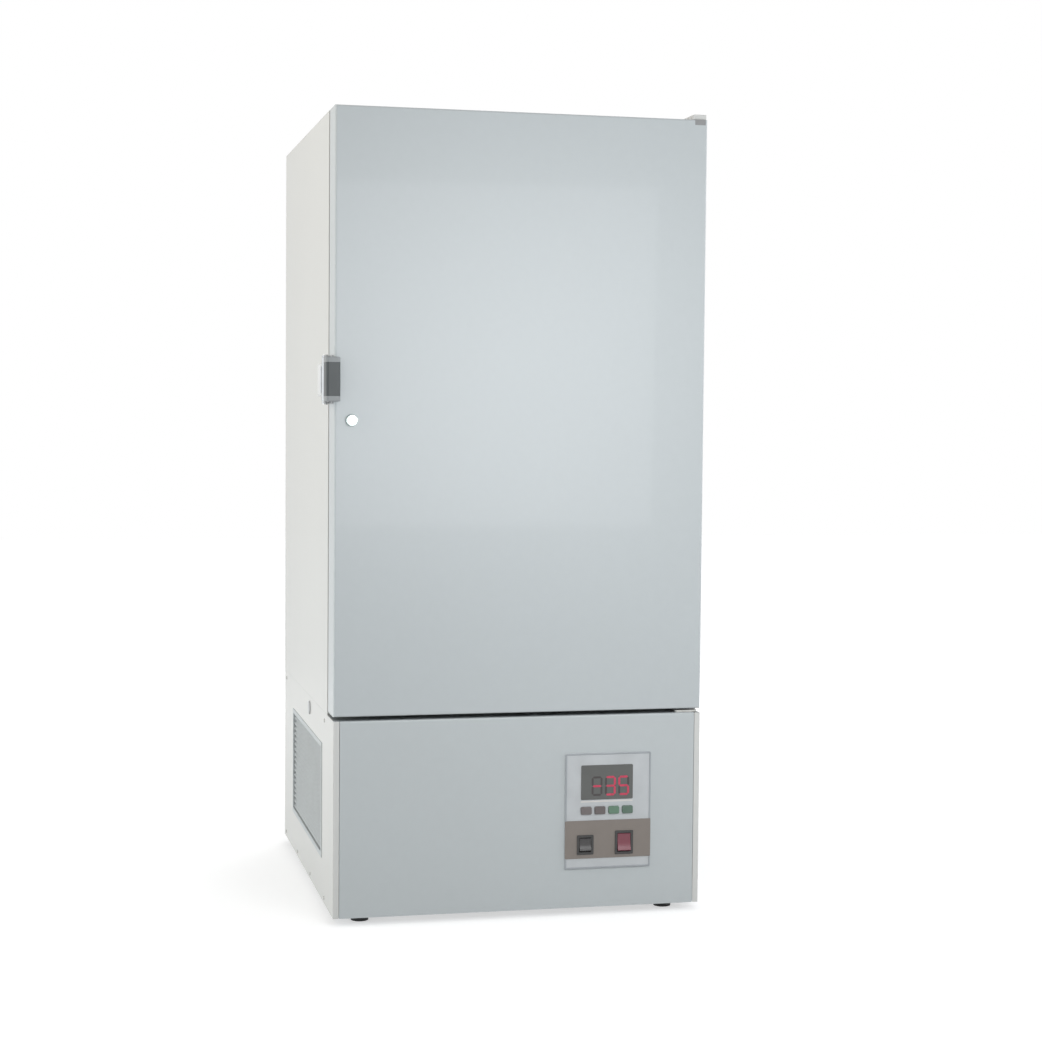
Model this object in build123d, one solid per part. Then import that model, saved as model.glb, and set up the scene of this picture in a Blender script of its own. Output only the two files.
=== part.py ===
from build123d import *
import os
from math import asin, cos, radians, sin

# Upright quick freezer: an insulated chamber with a full-height door over a machine compartment.
# Millimetres. While the pieces are made, X is to the right, Y to the back and Z up, with the middle of the
# cabinet at X 0, the door's front face at Y 0 and the floor at Z 0. The pieces are moved together at the end.

# Overall sizes
WIDTH = 890.0
DEPTH = 990.0
HEIGHT = 1900.0
MACHINE_TOP = 481.0         # top of the machine compartment
FOOT_HEIGHT = 18.0

# Sheet and walls
SHEET = 1.2                 # painted steel sheet of the outer panels
LINER = 1.2                 # stainless liner
PAN_SHEET = 2.0             # base pan and machine deck
WALL = 90.0                 # insulated wall, from outer face to inner face
FACE_LAND = 80.0            # width of the steel face frame that the gasket lands on
BREAKER_DEPTH = 4.0

# Door
DOOR_THICKNESS = 92.0
DOOR_GAP = 14.0             # between the door's back and the cabinet's face
DOOR_BOTTOM_GAP = 10.0
DOOR_TOP_GAP = 1.0
DOOR_EDGE_RADIUS = 5.0
DOOR_LINER = 2.0
DOOR_PAD_HEIGHT = 6.0       # raised middle of the door's inner liner
DOOR_PAD_INSET = 3.0        # from the chamber's mouth
GASKET_WIDTH = 20.0
GASKET_INSET = 12.0         # from the chamber's mouth outwards
SOFT_CLEARANCE = 0.3        # between soft or moving pieces and what they meet

# Hinges
HINGE_INSET = 17.0          # pin axis from the cabinet's right side
HINGE_SETBACK = 30.0        # pin axis from the door's front
HINGE_PIN_RADIUS = 6.0
HINGE_RUNNING = 0.05        # radial clearance of pins in their bushes
HINGE_PLATE = 5.0
HINGE_PLATE_WIDTH = 28.0
HINGE_PLATE_FRONT = 10.0    # front end of the plates, behind the door's front
TOP_HINGE_LENGTH = 180.0
HINGE_COVER_WALL = 2.0
HINGE_COVER_HEIGHT = 12.0
HINGE_PLATE_CORNER = 10.0
LOWER_HINGE_EXTRA = 30.0    # width of the lower plate towards the middle
BUSH_BLOCK_WIDTH = 26.0
BUSH_BLOCK_LENGTH = 56.0
BUSH_BLOCK_HEIGHT = 13.0
BUSH_RADIUS = 11.0
BUSH_DEPTH = 29.0           # of each bush in the door
PIN_REACH = 25.0            # of each pin in its bush

# Edge handle on the door's left side
HANDLE_HEIGHT = 112.0
HANDLE_CENTRE = 1273.0
HANDLE_PLATE = 3.0
HANDLE_PLATE_FRONT = 20.0
HANDLE_PIVOT_SETBACK = 76.0
HANDLE_PIVOT_OUT = 11.5     # pivot axis from the door's side
HANDLE_PIN_RADIUS = 4.0
HANDLE_EAR = 4.0
KNUCKLE_RADIUS = 8.0
LEVER_PLATE = 5.0
GRIP_OUT = 23.0             # grip's outer face from the door's side
GRIP_FRONT = 24.0           # grip's front face from the door's front
GRIP_OVERLAP = 11.0         # of the grip over the door's front
GRIP_THICKNESS = 12.0
GRIP_BACK = 16.0            # back end of the grip, behind the door's front
CAM_REACH = 12.0            # of the opening cam from the pivot
CAM_ANGLE = 156.0           # of the cam at rest, from +X
LEVER_SWING = 30.0
STRIKE_LENGTH = 100.0
STRIKE_HEIGHT = 76.0
STRIKE_OUT = 20.0
STRIKE_NOSE_GAP = 5.0       # between the strike's nose and the line of the door's side
CAM_CLEARANCE = 0.7         # between the pulled lever's cam and the strike

# Key lock
LOCK_INSET = 40.0           # from the door's left side
LOCK_CENTRE = 1179.0
LOCK_FLANGE_RADIUS = 14.0
LOCK_PROUD = 8.0
LOCK_SLEEVE_RADIUS = 9.0
LOCK_ROD_RADIUS = 5.0
LOCK_FACE_RADIUS = 7.5
LOCK_FACE_DEPTH = 5.0
LOCK_RUNNING = 0.08
TONGUE_LENGTH = 32.0
TONGUE_WIDTH = 12.0
TONGUE_SHEET = 3.0
STRIKER_SHEET = 2.0
STRIKER_LIP = 14.0
STRIKER_HEIGHT = 26.0

# Chamber fittings
SHELF_COUNT = 3
SHELF_SHEET = 3.0
SHELF_LIP = 15.0
SHELF_SIDE_GAP = 15.0
SHELF_FRONT = 150.0
SHELF_BACK_GAP = 40.0
RAIL_WIDTH = 25.0
RAIL_SHEET = 3.0
COIL_TUBE = 10.0
COIL_RUNS = 6               # an even number, so that both ends lie at the back
COIL_FRONT_GAP = 50.0       # from the shelf's front edge to the front bends
COIL_BACK_GAP = 40.0        # from the shelf's back edge to the back bends
HEADER_TUBE = 14.0
HEADER_INSET = 65.0         # axis from the chamber's side wall
HEADER_BACK_GAP = 6.0       # from the chamber's back wall
HEADER_STUB = 19.0          # from the header's axis to the shelf coil's end
HEADER_DROP = 40.0          # below the machine deck
PROBE_RADIUS = 4.0
PROBE_LENGTH = 70.0
PROBE_INSET = 110.0         # from the chamber's side wall and from its roof
PROBE_BACK_GAP = 14.0       # axis from the chamber's back wall

# Machine compartment shell
PAN_RIM = 30.0
FRONT_RETURN = 14.0         # folded edges of the lower front and side panels
PANEL_BEND = 4.0            # outer radius of the front panel's upper fold
PANEL_SEAM = 0.8
VENT_FRONT = 200.0          # from the door's front
VENT_SETBACK = 200.0        # from the cabinet's back
VENT_BOTTOM = 120.0
VENT_TOP = 400.0
VENT_FRAME = 12.0
VENT_PROUD = 1.5
SLAT_PITCH = 14.0
SLAT_DEPTH = 14.0
SLAT_SHEET = 1.5
SLAT_ANGLE = 40.0
VENT_POSTS = 2
SLOT_LENGTH = 150.0
SLOT_HEIGHT = 7.0
SLOT_PITCH = 22.0
SLOT_ROWS = 12
SLOT_COLUMNS = 4
PLUG_SETBACK = 438.0
PLUG_CENTRE = 452.0
PLUG_RADIUS = 17.0
PLUG_STEM_RADIUS = 14.0
FOOT_RADIUS = 21.0
FOOT_INSET = 72.0
FOOT_SETBACK = 60.0
FOOT_PAD = 10.0
STUD_RADIUS = 5.0

# Cooling machine
COMPRESSOR_INSET = 255.0    # axis from the cabinet's right side
COMPRESSOR_SETBACK = 200.0  # axis from the cabinet's back
COMPRESSOR_RADIUS = 98.0
COMPRESSOR_HEIGHT = 250.0
COMPRESSOR_FOOT = 250.0
STUB_SPACING = 78.0         # between the compressor's two pipe stubs
STUB_RISE = 25.0            # of the stubs over the shell
STUB_LENGTH = 70.0
TERMINAL_BOX_WIDTH = 70.0
TERMINAL_BOX_LOW = 70.0     # above the shell's lower end
TERMINAL_BOX_HEIGHT = 70.0
TERMINAL_BOX_OUT = 32.0     # beyond the shell
TERMINAL_BOX_ROOT = 30.0    # into the shell
MOUNT_HEIGHT = 14.0
CONDENSER_INSET = 45.0      # outer face from the cabinet's left side
CONDENSER_SETBACK = 290.0   # back end from the cabinet's back
CONDENSER_THICKNESS = 56.0
CONDENSER_WIDTH = 400.0
CONDENSER_HEIGHT = 350.0
CONDENSER_RISE = 20.0       # above the pan
CONDENSER_STUB = 20.0
INLET_DROP = 30.0           # of the inlet stub below the condenser's top
OUTLET_RISE = 40.0          # of the outlet stub and the drier above its lower end
FIN_PITCH = 16.0
FIN_SHEET = 1.5
SHROUD_SHEET = 2.0
FAN_RING_DEPTH = 30.0
FAN_RADIUS = 145.0
FAN_TIP_GAP = 6.0
FAN_BLADES = 5
FAN_HUB_RADIUS = 42.0
MOTOR_RADIUS = 45.0
MOTOR_LENGTH = 70.0
MOTOR_SHAFT = 5.0
DRIER_RADIUS = 16.0
DRIER_LENGTH = 110.0
DRIER_OUT = 120.0           # its start from the condenser's middle
DRIER_BEHIND = 90.0         # its axis behind the condenser
SADDLE_START = 40.0         # from the drier's start
SADDLE_WIDTH = 20.0
PIPE = 10.0
PIPE_BEND = 15.0
PIPE_DROP = 32.0            # of the pipes' turn below the headers' ends
BOX_WIDTH = 200.0
BOX_DEPTH = 120.0
BOX_HEIGHT = 170.0
GLAND_X = 330.0
GLAND_Z = 110.0
GLAND_BORE = 5.0
GLAND_NUT_RADIUS = 14.0
GLAND_NUT = 6.0
GLAND_DOME = 14.0
GLAND_STEM_RADIUS = 10.0
GLAND_STEM = 14.0           # of the threaded stem inside the cover

# Control panel on the lower front panel
PLATE_LEFT = 110.0
PLATE_WIDTH = 212.0
PLATE_BOTTOM = 112.0
PLATE_HEIGHT = 278.0
PLATE_SHEET = 3.0
PLATE_CORNER = 4.0
LENS_WIDTH = 128.0
LENS_HEIGHT = 83.0
LENS_SHEET = 2.0
LENS_CENTRE_X = 213.0
LENS_CENTRE_Z = 319.5
KEY_COUNT = 4
KEY_PITCH = 34.0
KEY_WIDTH = 26.0
KEY_HEIGHT = 18.0
KEY_PROUD = 5.0
KEY_STEM = 4.0
KEY_CENTRE_Z = 252.0
KEY_PLAY = 0.3
STRIP_BOTTOM = 137.0
STRIP_HEIGHT = 91.0
STRIP_SHEET = 2.0
FRAME_PROUD = 2.0
FRAME_RIM = 4.0
TUNNEL_WALL = 2.0
TUNNEL_DEPTH = 22.0
ROCKER_PLAY = 0.5
ROCKER_TILT = 9.0           # each side of level
ROCKER_SINK = 7.0           # pivot behind the frame's front
ROCKER_PROUD = 3.0          # of a level rocker's ends before the frame
ROCKER_DISH = 3.0
ROCKER_KEEL = 4.0           # depth of the back behind the round ends
ROCKER_HEEL = 25.0          # angle past the pivot at which the round ends stop
POWER_ROCKER = (256.0, 173.0, 32.0, 44.0)    # centre X, centre Z, width, height
ALARM_ROCKER = (160.0, 170.0, 28.0, 34.0)
CONTROL_BOX_DEPTH = 45.0
CONTROL_BOX_WALL = 2.0

# Places that follow from the sizes
HALF = WIDTH / 2
INNER_HALF = HALF - SHEET
CABINET_FRONT = DOOR_THICKNESS + DOOR_GAP
CABINET_BACK = DEPTH - SHEET
DOOR_BOTTOM = MACHINE_TOP + DOOR_BOTTOM_GAP
DOOR_TOP = HEIGHT - DOOR_TOP_GAP
DOOR_FOAM_BACK = DOOR_THICKNESS - DOOR_LINER
CHAMBER_HALF = HALF - WALL
CHAMBER_FLOOR = MACHINE_TOP + WALL
CHAMBER_TOP = HEIGHT - WALL
CHAMBER_BACK = DEPTH - WALL
PAN_TOP = FOOT_HEIGHT + PAN_SHEET
HINGE_X = HALF - HINGE_INSET
LOCK_X = -HALF + LOCK_INSET
TONGUE_BACK = CABINET_FRONT - 4.0
PIVOT_X = -HALF - HANDLE_PIVOT_OUT
HANDLE_LOW = HANDLE_CENTRE - HANDLE_HEIGHT / 2
HANDLE_HIGH = HANDLE_CENTRE + HANDLE_HEIGHT / 2
LEVER_LOW = HANDLE_LOW + HANDLE_EAR + 1.0
LEVER_HIGH = HANDLE_HIGH - HANDLE_EAR - 1.0
SHELF_SPACING = (CHAMBER_TOP - CHAMBER_FLOOR) / (SHELF_COUNT + 1)
SHELF_TOPS = [CHAMBER_FLOOR + SHELF_SPACING * (i + 1) for i in range(SHELF_COUNT)]
SHELF_HALF = CHAMBER_HALF - SHELF_SIDE_GAP
SHELF_END = CHAMBER_BACK - SHELF_BACK_GAP
HEADER_X = CHAMBER_HALF - HEADER_INSET
HEADER_Y = CHAMBER_BACK - HEADER_BACK_GAP - HEADER_TUBE / 2
HEADER_LOW = MACHINE_TOP - HEADER_DROP
VENT_BACK = DEPTH - VENT_SETBACK
COMPRESSOR_X = HALF - COMPRESSOR_INSET
COMPRESSOR_Y = DEPTH - COMPRESSOR_SETBACK
STUB_TOP = PAN_TOP + MOUNT_HEIGHT + COMPRESSOR_HEIGHT + STUB_RISE
CONDENSER_X = -HALF + CONDENSER_INSET
CONDENSER_BACK = DEPTH - CONDENSER_SETBACK
CONDENSER_FRONT = CONDENSER_BACK - CONDENSER_WIDTH
CONDENSER_LOW = PAN_TOP + CONDENSER_RISE
CONDENSER_TOP = CONDENSER_LOW + CONDENSER_HEIGHT
SHROUD_X = CONDENSER_X + CONDENSER_THICKNESS
FAN_Y = (CONDENSER_FRONT + CONDENSER_BACK) / 2
FAN_Z = (CONDENSER_LOW + CONDENSER_TOP) / 2
MOTOR_X = SHROUD_X + FAN_RING_DEPTH + 12.0
STRIP_FRONT = -PLATE_SHEET - STRIP_SHEET


def block(x0, x1, y0, y1, z0, z1):
    """Rectangular solid between its low and high X, Y and Z."""
    return Pos((x0 + x1) / 2, (y0 + y1) / 2, (z0 + z1) / 2) * Box(x1 - x0, y1 - y0, z1 - z0)


def rod_x(x0, x1, y, z, radius):
    """Cylinder along X."""
    return Pos((x0 + x1) / 2, y, z) * Rot(0, 90, 0) * Cylinder(radius, x1 - x0)


def rod_y(y0, y1, x, z, radius):
    """Cylinder along Y."""
    return Pos(x, (y0 + y1) / 2, z) * Rot(90, 0, 0) * Cylinder(radius, y1 - y0)


def rod_z(z0, z1, x, y, radius):
    """Cylinder along Z."""
    return Pos(x, y, (z0 + z1) / 2) * Cylinder(radius, z1 - z0)


def front_plate(x0, x1, z0, z1, back, front, corner):
    """Plate parallel to the front, with rounded corners, from its back face to its front face."""
    plane = Plane(origin=((x0 + x1) / 2, back, (z0 + z1) / 2), x_dir=(1, 0, 0), z_dir=(0, -1, 0))
    return extrude(plane * RectangleRounded(x1 - x0, z1 - z0, corner), back - front)


def ring_plate(outer_half, outer_low, outer_high, inner_half, inner_low, inner_high, front, back):
    """Flat rectangular ring parallel to the front."""
    outer = block(-outer_half, outer_half, front, back, outer_low, outer_high)
    return outer - block(-inner_half, inner_half, front - 1, back + 1, inner_low, inner_high)


def tube(points, diameter, bend):
    """Round tube along straight runs that are joined by arcs of one radius."""
    path = FilletPolyline(*points, radius=bend)
    section = Plane(origin=path @ 0, z_dir=path % 0) * Circle(diameter / 2)
    return sweep(section, path=path)


def group(solids):
    """Several separate solids that share one node."""
    return Compound(children=list(solids))


def mirrored(solid):
    """The same piece on the other side of the cabinet."""
    return mirror(solid, about=Plane.YZ)


# Cabinet

def upper_side_panel():
    """Left outer skin of the insulated cabinet."""
    return block(-HALF, -INNER_HALF, CABINET_FRONT + SHEET, CABINET_BACK, MACHINE_TOP, HEIGHT - SHEET)


def top_panel():
    """Roof skin, over the side and rear skins."""
    return block(-HALF, HALF, CABINET_FRONT + SHEET, DEPTH, HEIGHT - SHEET, HEIGHT)


def rear_panel():
    """Back skin of the insulated cabinet."""
    return block(-HALF, HALF, CABINET_BACK, DEPTH, MACHINE_TOP, HEIGHT - SHEET)


def face_frame():
    """Painted steel frame round the chamber's mouth, which the magnetic gasket lands on."""
    return ring_plate(HALF, MACHINE_TOP, HEIGHT,
                      HALF - FACE_LAND, MACHINE_TOP + FACE_LAND, HEIGHT - FACE_LAND,
                      CABINET_FRONT, CABINET_FRONT + SHEET)


def breaker_frame():
    """Plastic strip between the warm face frame and the cold liner."""
    return ring_plate(HALF - FACE_LAND, MACHINE_TOP + FACE_LAND, HEIGHT - FACE_LAND,
                      CHAMBER_HALF, CHAMBER_FLOOR, CHAMBER_TOP,
                      CABINET_FRONT, CABINET_FRONT + BREAKER_DEPTH)


def liner_box(offset):
    """Chamber space, grown by an offset on every side but the mouth."""
    return block(-CHAMBER_HALF - offset, CHAMBER_HALF + offset, CABINET_FRONT + BREAKER_DEPTH,
                 CHAMBER_BACK + offset, CHAMBER_FLOOR - offset, CHAMBER_TOP + offset)


def header_holes():
    """Holes for the two shelf headers through the chamber's floor and the machine deck."""
    holes = [rod_z(MACHINE_TOP - WALL, CHAMBER_FLOOR + 1, x, HEADER_Y, HEADER_TUBE / 2 + SOFT_CLEARANCE)
             for x in (-HEADER_X, HEADER_X)]
    return holes[0] + holes[1]


def inner_liner():
    """Stainless box, open at the front."""
    return liner_box(LINER) - liner_box(0) - header_holes()


def insulation_foam():
    """Foamed body between the outer skins and the liner."""
    body = block(-INNER_HALF, INNER_HALF, CABINET_FRONT + SHEET, CABINET_BACK, MACHINE_TOP, HEIGHT - SHEET)
    return body - liner_box(LINER) - breaker_frame() - block(
        -CHAMBER_HALF, CHAMBER_HALF, CABINET_FRONT, CABINET_FRONT + BREAKER_DEPTH + 1,
        CHAMBER_FLOOR, CHAMBER_TOP) - header_holes()


# Chamber fittings

def shelf_plate(top):
    """Refrigerated shelf: an aluminium plate with turned-down front and back edges."""
    plate = block(-SHELF_HALF, SHELF_HALF, SHELF_FRONT, SHELF_END, top - SHELF_SHEET, top)
    front_lip = block(-SHELF_HALF, SHELF_HALF, SHELF_FRONT, SHELF_FRONT + SHELF_SHEET,
                      top - SHELF_LIP, top)
    lip_half = HEADER_X - COIL_TUBE
    back_lip = block(-lip_half, lip_half, SHELF_END - SHELF_SHEET, SHELF_END, top - SHELF_LIP, top)
    shelf = plate + front_lip + back_lip
    front_edge = shelf.edges().filter_by(Axis.X).sort_by(Axis.Y)[:2].sort_by(Axis.Z)[-1]
    return fillet(front_edge, SHELF_SHEET * 0.8)


def shelf_rails():
    """Angle rails on the liner's side walls, one pair for each shelf."""
    rails = []
    for top in SHELF_TOPS:
        seat = top - SHELF_SHEET
        y0 = SHELF_FRONT + SHELF_SHEET + 5.0
        y1 = SHELF_END - SHELF_SHEET - 5.0
        ledge = block(-CHAMBER_HALF, -CHAMBER_HALF + RAIL_WIDTH, y0, y1, seat - RAIL_SHEET, seat)
        leg = block(-CHAMBER_HALF, -CHAMBER_HALF + RAIL_SHEET, y0, y1, seat - RAIL_WIDTH, seat)
        rail = ledge + leg
        rails += [rail, mirrored(rail)]
    return group(rails)


def coil_height(top):
    """Axis height of the tube under a shelf."""
    return top - SHELF_SHEET - COIL_TUBE / 2


def shelf_coils():
    """Serpentine evaporator tubes, one clamped under each shelf, with both ends at the headers."""
    coils = []
    pitch = 2 * HEADER_X / (COIL_RUNS - 1)
    front = SHELF_FRONT + COIL_FRONT_GAP
    back = SHELF_END - COIL_BACK_GAP
    for top in SHELF_TOPS:
        z = coil_height(top)
        points = [(-HEADER_X, HEADER_Y - HEADER_STUB, z)]
        for bend in range(COIL_RUNS - 1):
            x = -HEADER_X + bend * pitch
            y = front if bend % 2 == 0 else back
            points += [(x, y, z), (x + pitch, y, z)]
        points.append((HEADER_X, HEADER_Y - HEADER_STUB, z))
        coils.append(tube(points, COIL_TUBE, pitch / 2 - 1.0))
    return group(coils)


def shelf_headers():
    """Upright supply and return pipes behind the shelves, each with a stub for every shelf's coil."""
    headers = []
    high = coil_height(SHELF_TOPS[-1]) + 20.0
    for x in (-HEADER_X, HEADER_X):
        header = rod_z(HEADER_LOW, high, x, HEADER_Y, HEADER_TUBE / 2)
        for top in SHELF_TOPS:
            header += rod_y(HEADER_Y - HEADER_STUB, HEADER_Y, x, coil_height(top), COIL_TUBE / 2)
        headers.append(header)
    return group(headers)


def temperature_probe():
    """Sensor tube in a clip on the chamber's back wall."""
    x = -CHAMBER_HALF + PROBE_INSET
    z = CHAMBER_TOP - PROBE_INSET
    y = CHAMBER_BACK - PROBE_BACK_GAP
    sensor = rod_x(x, x + PROBE_LENGTH, y, z, PROBE_RADIUS)
    clip = block(x + 20.0, x + 32.0, y - 1.0, CHAMBER_BACK, z - 7.0, z + 7.0)
    return fillet(sensor.edges().filter_by(GeomType.CIRCLE).sort_by(Axis.X)[0], PROBE_RADIUS * 0.9) + clip


# Machine compartment shell

def base_pan():
    """Folded tray that carries the cooling machine."""
    outer = block(-INNER_HALF, INNER_HALF, FRONT_RETURN, CABINET_BACK, FOOT_HEIGHT, FOOT_HEIGHT + PAN_RIM)
    inner = block(-INNER_HALF + PAN_SHEET, INNER_HALF - PAN_SHEET, FRONT_RETURN + PAN_SHEET,
                  CABINET_BACK - PAN_SHEET, PAN_TOP, FOOT_HEIGHT + PAN_RIM + 1)
    pan = outer - inner
    for x, y in foot_places():
        pan -= rod_z(FOOT_HEIGHT - 1, PAN_TOP + 1, x, y, STUD_RADIUS + 0.3)
    return pan


def foot_places():
    """Centres of the four feet."""
    columns = (-HALF + FOOT_INSET, HALF - FOOT_INSET)
    rows = (FOOT_SETBACK, DEPTH - FOOT_SETBACK)
    return [(x, y) for x in columns for y in rows]


def levelling_feet():
    """Screw feet: a rubber-soled pad, a neck under the pan, a stud through it and a nut above it."""
    feet = []
    for x, y in foot_places():
        pad = rod_z(0, FOOT_PAD, x, y, FOOT_RADIUS)
        pad = chamfer(pad.edges().filter_by(GeomType.CIRCLE).sort_by(Axis.Z)[-1], 3.0)
        neck = rod_z(FOOT_PAD, FOOT_HEIGHT, x, y, 9.0)
        stud = rod_z(FOOT_HEIGHT, PAN_TOP + 12.0, x, y, STUD_RADIUS)
        nut = Pos(x, y, PAN_TOP) * extrude(RegularPolygon(9.0, 6), 6.0)
        feet.append(pad + neck + stud + nut)
    return group(feet)


def machine_deck():
    """Sheet between the machine compartment and the insulated cabinet."""
    deck = block(-INNER_HALF, INNER_HALF, FRONT_RETURN, CABINET_BACK, MACHINE_TOP - PAN_SHEET, MACHINE_TOP)
    return deck - header_holes()


def lower_side_panel():
    """Left cover of the machine compartment, with a folded front edge and the vent's cut-out."""
    side = block(-HALF, -INNER_HALF, 0, CABINET_BACK, FOOT_HEIGHT, MACHINE_TOP)
    edge = block(-HALF, -HALF + FRONT_RETURN, 0, SHEET, FOOT_HEIGHT, MACHINE_TOP)
    panel = side + edge
    corner = panel.edges().filter_by(Axis.Z).sort_by(Axis.Y)[:2].sort_by(Axis.X)[0]
    panel = fillet(corner, SHEET * 0.8)
    return panel - block(-HALF - 1, -INNER_HALF + 1, VENT_FRONT + VENT_FRAME / 2, VENT_BACK - VENT_FRAME / 2,
                         VENT_BOTTOM + VENT_FRAME / 2, VENT_TOP - VENT_FRAME / 2)


def left_lower_side_panel():
    """The left cover also has the hole of the cable outlet's plug."""
    outlet = rod_x(-HALF - 1, -INNER_HALF + 1, PLUG_SETBACK, PLUG_CENTRE, PLUG_STEM_RADIUS)
    return lower_side_panel() - outlet


def vent_grille():
    """Louvred grille: a flanged frame, sloping slats and upright posts behind them."""
    y0 = VENT_FRONT + VENT_FRAME / 2
    y1 = VENT_BACK - VENT_FRAME / 2
    z0 = VENT_BOTTOM + VENT_FRAME / 2
    z1 = VENT_TOP - VENT_FRAME / 2
    window = (VENT_FRONT + VENT_FRAME, VENT_BACK - VENT_FRAME,
              VENT_BOTTOM + VENT_FRAME, VENT_TOP - VENT_FRAME)
    back = -HALF + SLAT_DEPTH
    flange = block(-HALF - VENT_PROUD, -HALF, VENT_FRONT, VENT_BACK, VENT_BOTTOM, VENT_TOP)
    collar = block(-HALF, back, y0, y1, z0, z1)
    grille = flange + collar - block(-HALF - VENT_PROUD - 1, back + 1, *window)
    slat_width = SLAT_DEPTH / cos(radians(SLAT_ANGLE)) * 0.8
    count = int((window[3] - window[2]) / SLAT_PITCH)
    first = window[2] + (window[3] - window[2] - (count - 1) * SLAT_PITCH) / 2
    for i in range(count):
        slat = Box(slat_width, window[1] - window[0], SLAT_SHEET)
        place = Pos(-HALF + SLAT_DEPTH / 2, (y0 + y1) / 2, first + i * SLAT_PITCH)
        grille += place * Rot(0, -SLAT_ANGLE, 0) * slat
    for i in range(VENT_POSTS):
        y = window[0] + (window[1] - window[0]) * (i + 1) / (VENT_POSTS + 1)
        grille += block(back - 3.0, back, y - 3.0, y + 3.0, window[2], window[3])
    return grille


def lower_front_panel():
    """Removable front cover with folded edges, cut out behind the control panel."""
    half = HALF - FRONT_RETURN - PANEL_SEAM
    outer = block(-half, half, 0, FRONT_RETURN, FOOT_HEIGHT, MACHINE_TOP)
    outer = fillet(upper_front_edge(outer), PANEL_BEND)
    inner = block(-half + SHEET, half - SHEET, SHEET, FRONT_RETURN + 1,
                  FOOT_HEIGHT + SHEET, MACHINE_TOP - SHEET)
    inner = fillet(upper_front_edge(inner), PANEL_BEND - SHEET)
    panel = outer - inner - control_window(-1, FRONT_RETURN)
    return panel - switch_tunnel(POWER_ROCKER) - switch_tunnel(ALARM_ROCKER)


def upper_front_edge(solid):
    """Edge along X that lies highest on the front face."""
    return solid.edges().filter_by(Axis.X).sort_by(Axis.Y)[:2].sort_by(Axis.Z)[-1]


def rear_cover():
    """Slotted sheet over the back of the machine compartment, with the cord gland's hole."""
    cover = block(-INNER_HALF, INNER_HALF, CABINET_BACK, DEPTH, FOOT_HEIGHT, MACHINE_TOP)
    middle = (FOOT_HEIGHT + MACHINE_TOP) / 2 + 20.0
    plane = Plane(origin=(0, DEPTH + 1, middle), x_dir=(1, 0, 0), z_dir=(0, -1, 0))
    places = GridLocations(SLOT_LENGTH + 40.0, SLOT_PITCH, SLOT_COLUMNS, SLOT_ROWS)
    slots = Sketch() + [place * Rectangle(SLOT_LENGTH, SLOT_HEIGHT) for place in places]
    cover -= extrude(plane * slots, SHEET + 2)
    return cover - rod_y(CABINET_BACK - 1, DEPTH + 1, GLAND_X, GLAND_Z, GLAND_STEM_RADIUS)


def cable_plug():
    """Blanking plug in the cable outlet of the left cover."""
    cap = rod_x(-HALF - 3.0, -HALF, PLUG_SETBACK, PLUG_CENTRE, PLUG_RADIUS)
    cap = fillet(cap.edges().filter_by(GeomType.CIRCLE).sort_by(Axis.X)[0], 2.0)
    return cap + rod_x(-HALF, -HALF + 8.0, PLUG_SETBACK, PLUG_CENTRE, PLUG_STEM_RADIUS)


def cord_gland():
    """Gland in the rear cover that the mains lead leaves through."""
    front = CABINET_BACK - GLAND_STEM
    dome_back = DEPTH + GLAND_NUT + GLAND_DOME
    stem = rod_y(front, DEPTH, GLAND_X, GLAND_Z, GLAND_STEM_RADIUS)
    nut = rod_y(DEPTH, DEPTH + GLAND_NUT, GLAND_X, GLAND_Z, GLAND_NUT_RADIUS)
    dome = Pos(GLAND_X, DEPTH + GLAND_NUT, GLAND_Z) * Rot(-90, 0, 0) * Cone(
        GLAND_NUT_RADIUS - 1.5, GLAND_STEM_RADIUS - 2.0, GLAND_DOME,
        align=(Align.CENTER, Align.CENTER, Align.MIN))
    lock_nut = rod_y(CABINET_BACK - GLAND_NUT, CABINET_BACK, GLAND_X, GLAND_Z, GLAND_NUT_RADIUS)
    return stem + nut + dome + lock_nut - rod_y(front - 1, dome_back + 1, GLAND_X, GLAND_Z, GLAND_BORE)


# Cooling machine

def compressor():
    """Hermetic compressor: a drawn steel shell on a foot plate, with its terminal box and two stubs."""
    r = COMPRESSOR_RADIUS
    low = PAN_TOP + MOUNT_HEIGHT
    shell = rod_z(low, low + COMPRESSOR_HEIGHT, COMPRESSOR_X, COMPRESSOR_Y, r)
    shell = fillet(shell.edges().filter_by(GeomType.CIRCLE), r * 0.35)
    seam = rod_z(low + COMPRESSOR_HEIGHT * 0.56, low + COMPRESSOR_HEIGHT * 0.56 + 6.0,
                 COMPRESSOR_X, COMPRESSOR_Y, r + 4.0)
    f = COMPRESSOR_FOOT / 2
    foot = block(COMPRESSOR_X - f, COMPRESSOR_X + f, COMPRESSOR_Y - f, COMPRESSOR_Y + f, low, low + 3.0)
    foot = fillet(foot.edges().filter_by(Axis.Z), 20.0)
    half = TERMINAL_BOX_WIDTH / 2
    near = COMPRESSOR_Y - r
    box = block(COMPRESSOR_X - half, COMPRESSOR_X + half, near - TERMINAL_BOX_OUT, near + TERMINAL_BOX_ROOT,
                low + TERMINAL_BOX_LOW, low + TERMINAL_BOX_LOW + TERMINAL_BOX_HEIGHT)
    body = shell + seam + foot + box
    for x, y, z in (suction_stub(), discharge_stub()):
        body += rod_z(z - STUB_LENGTH, z, x, y, PIPE / 2)
    return body


def suction_stub():
    """Top end of the compressor's suction stub."""
    return (COMPRESSOR_X + STUB_SPACING / 2, COMPRESSOR_Y, STUB_TOP)


def discharge_stub():
    """Top end of the compressor's discharge stub."""
    return (COMPRESSOR_X - STUB_SPACING / 2, COMPRESSOR_Y, STUB_TOP)


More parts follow.
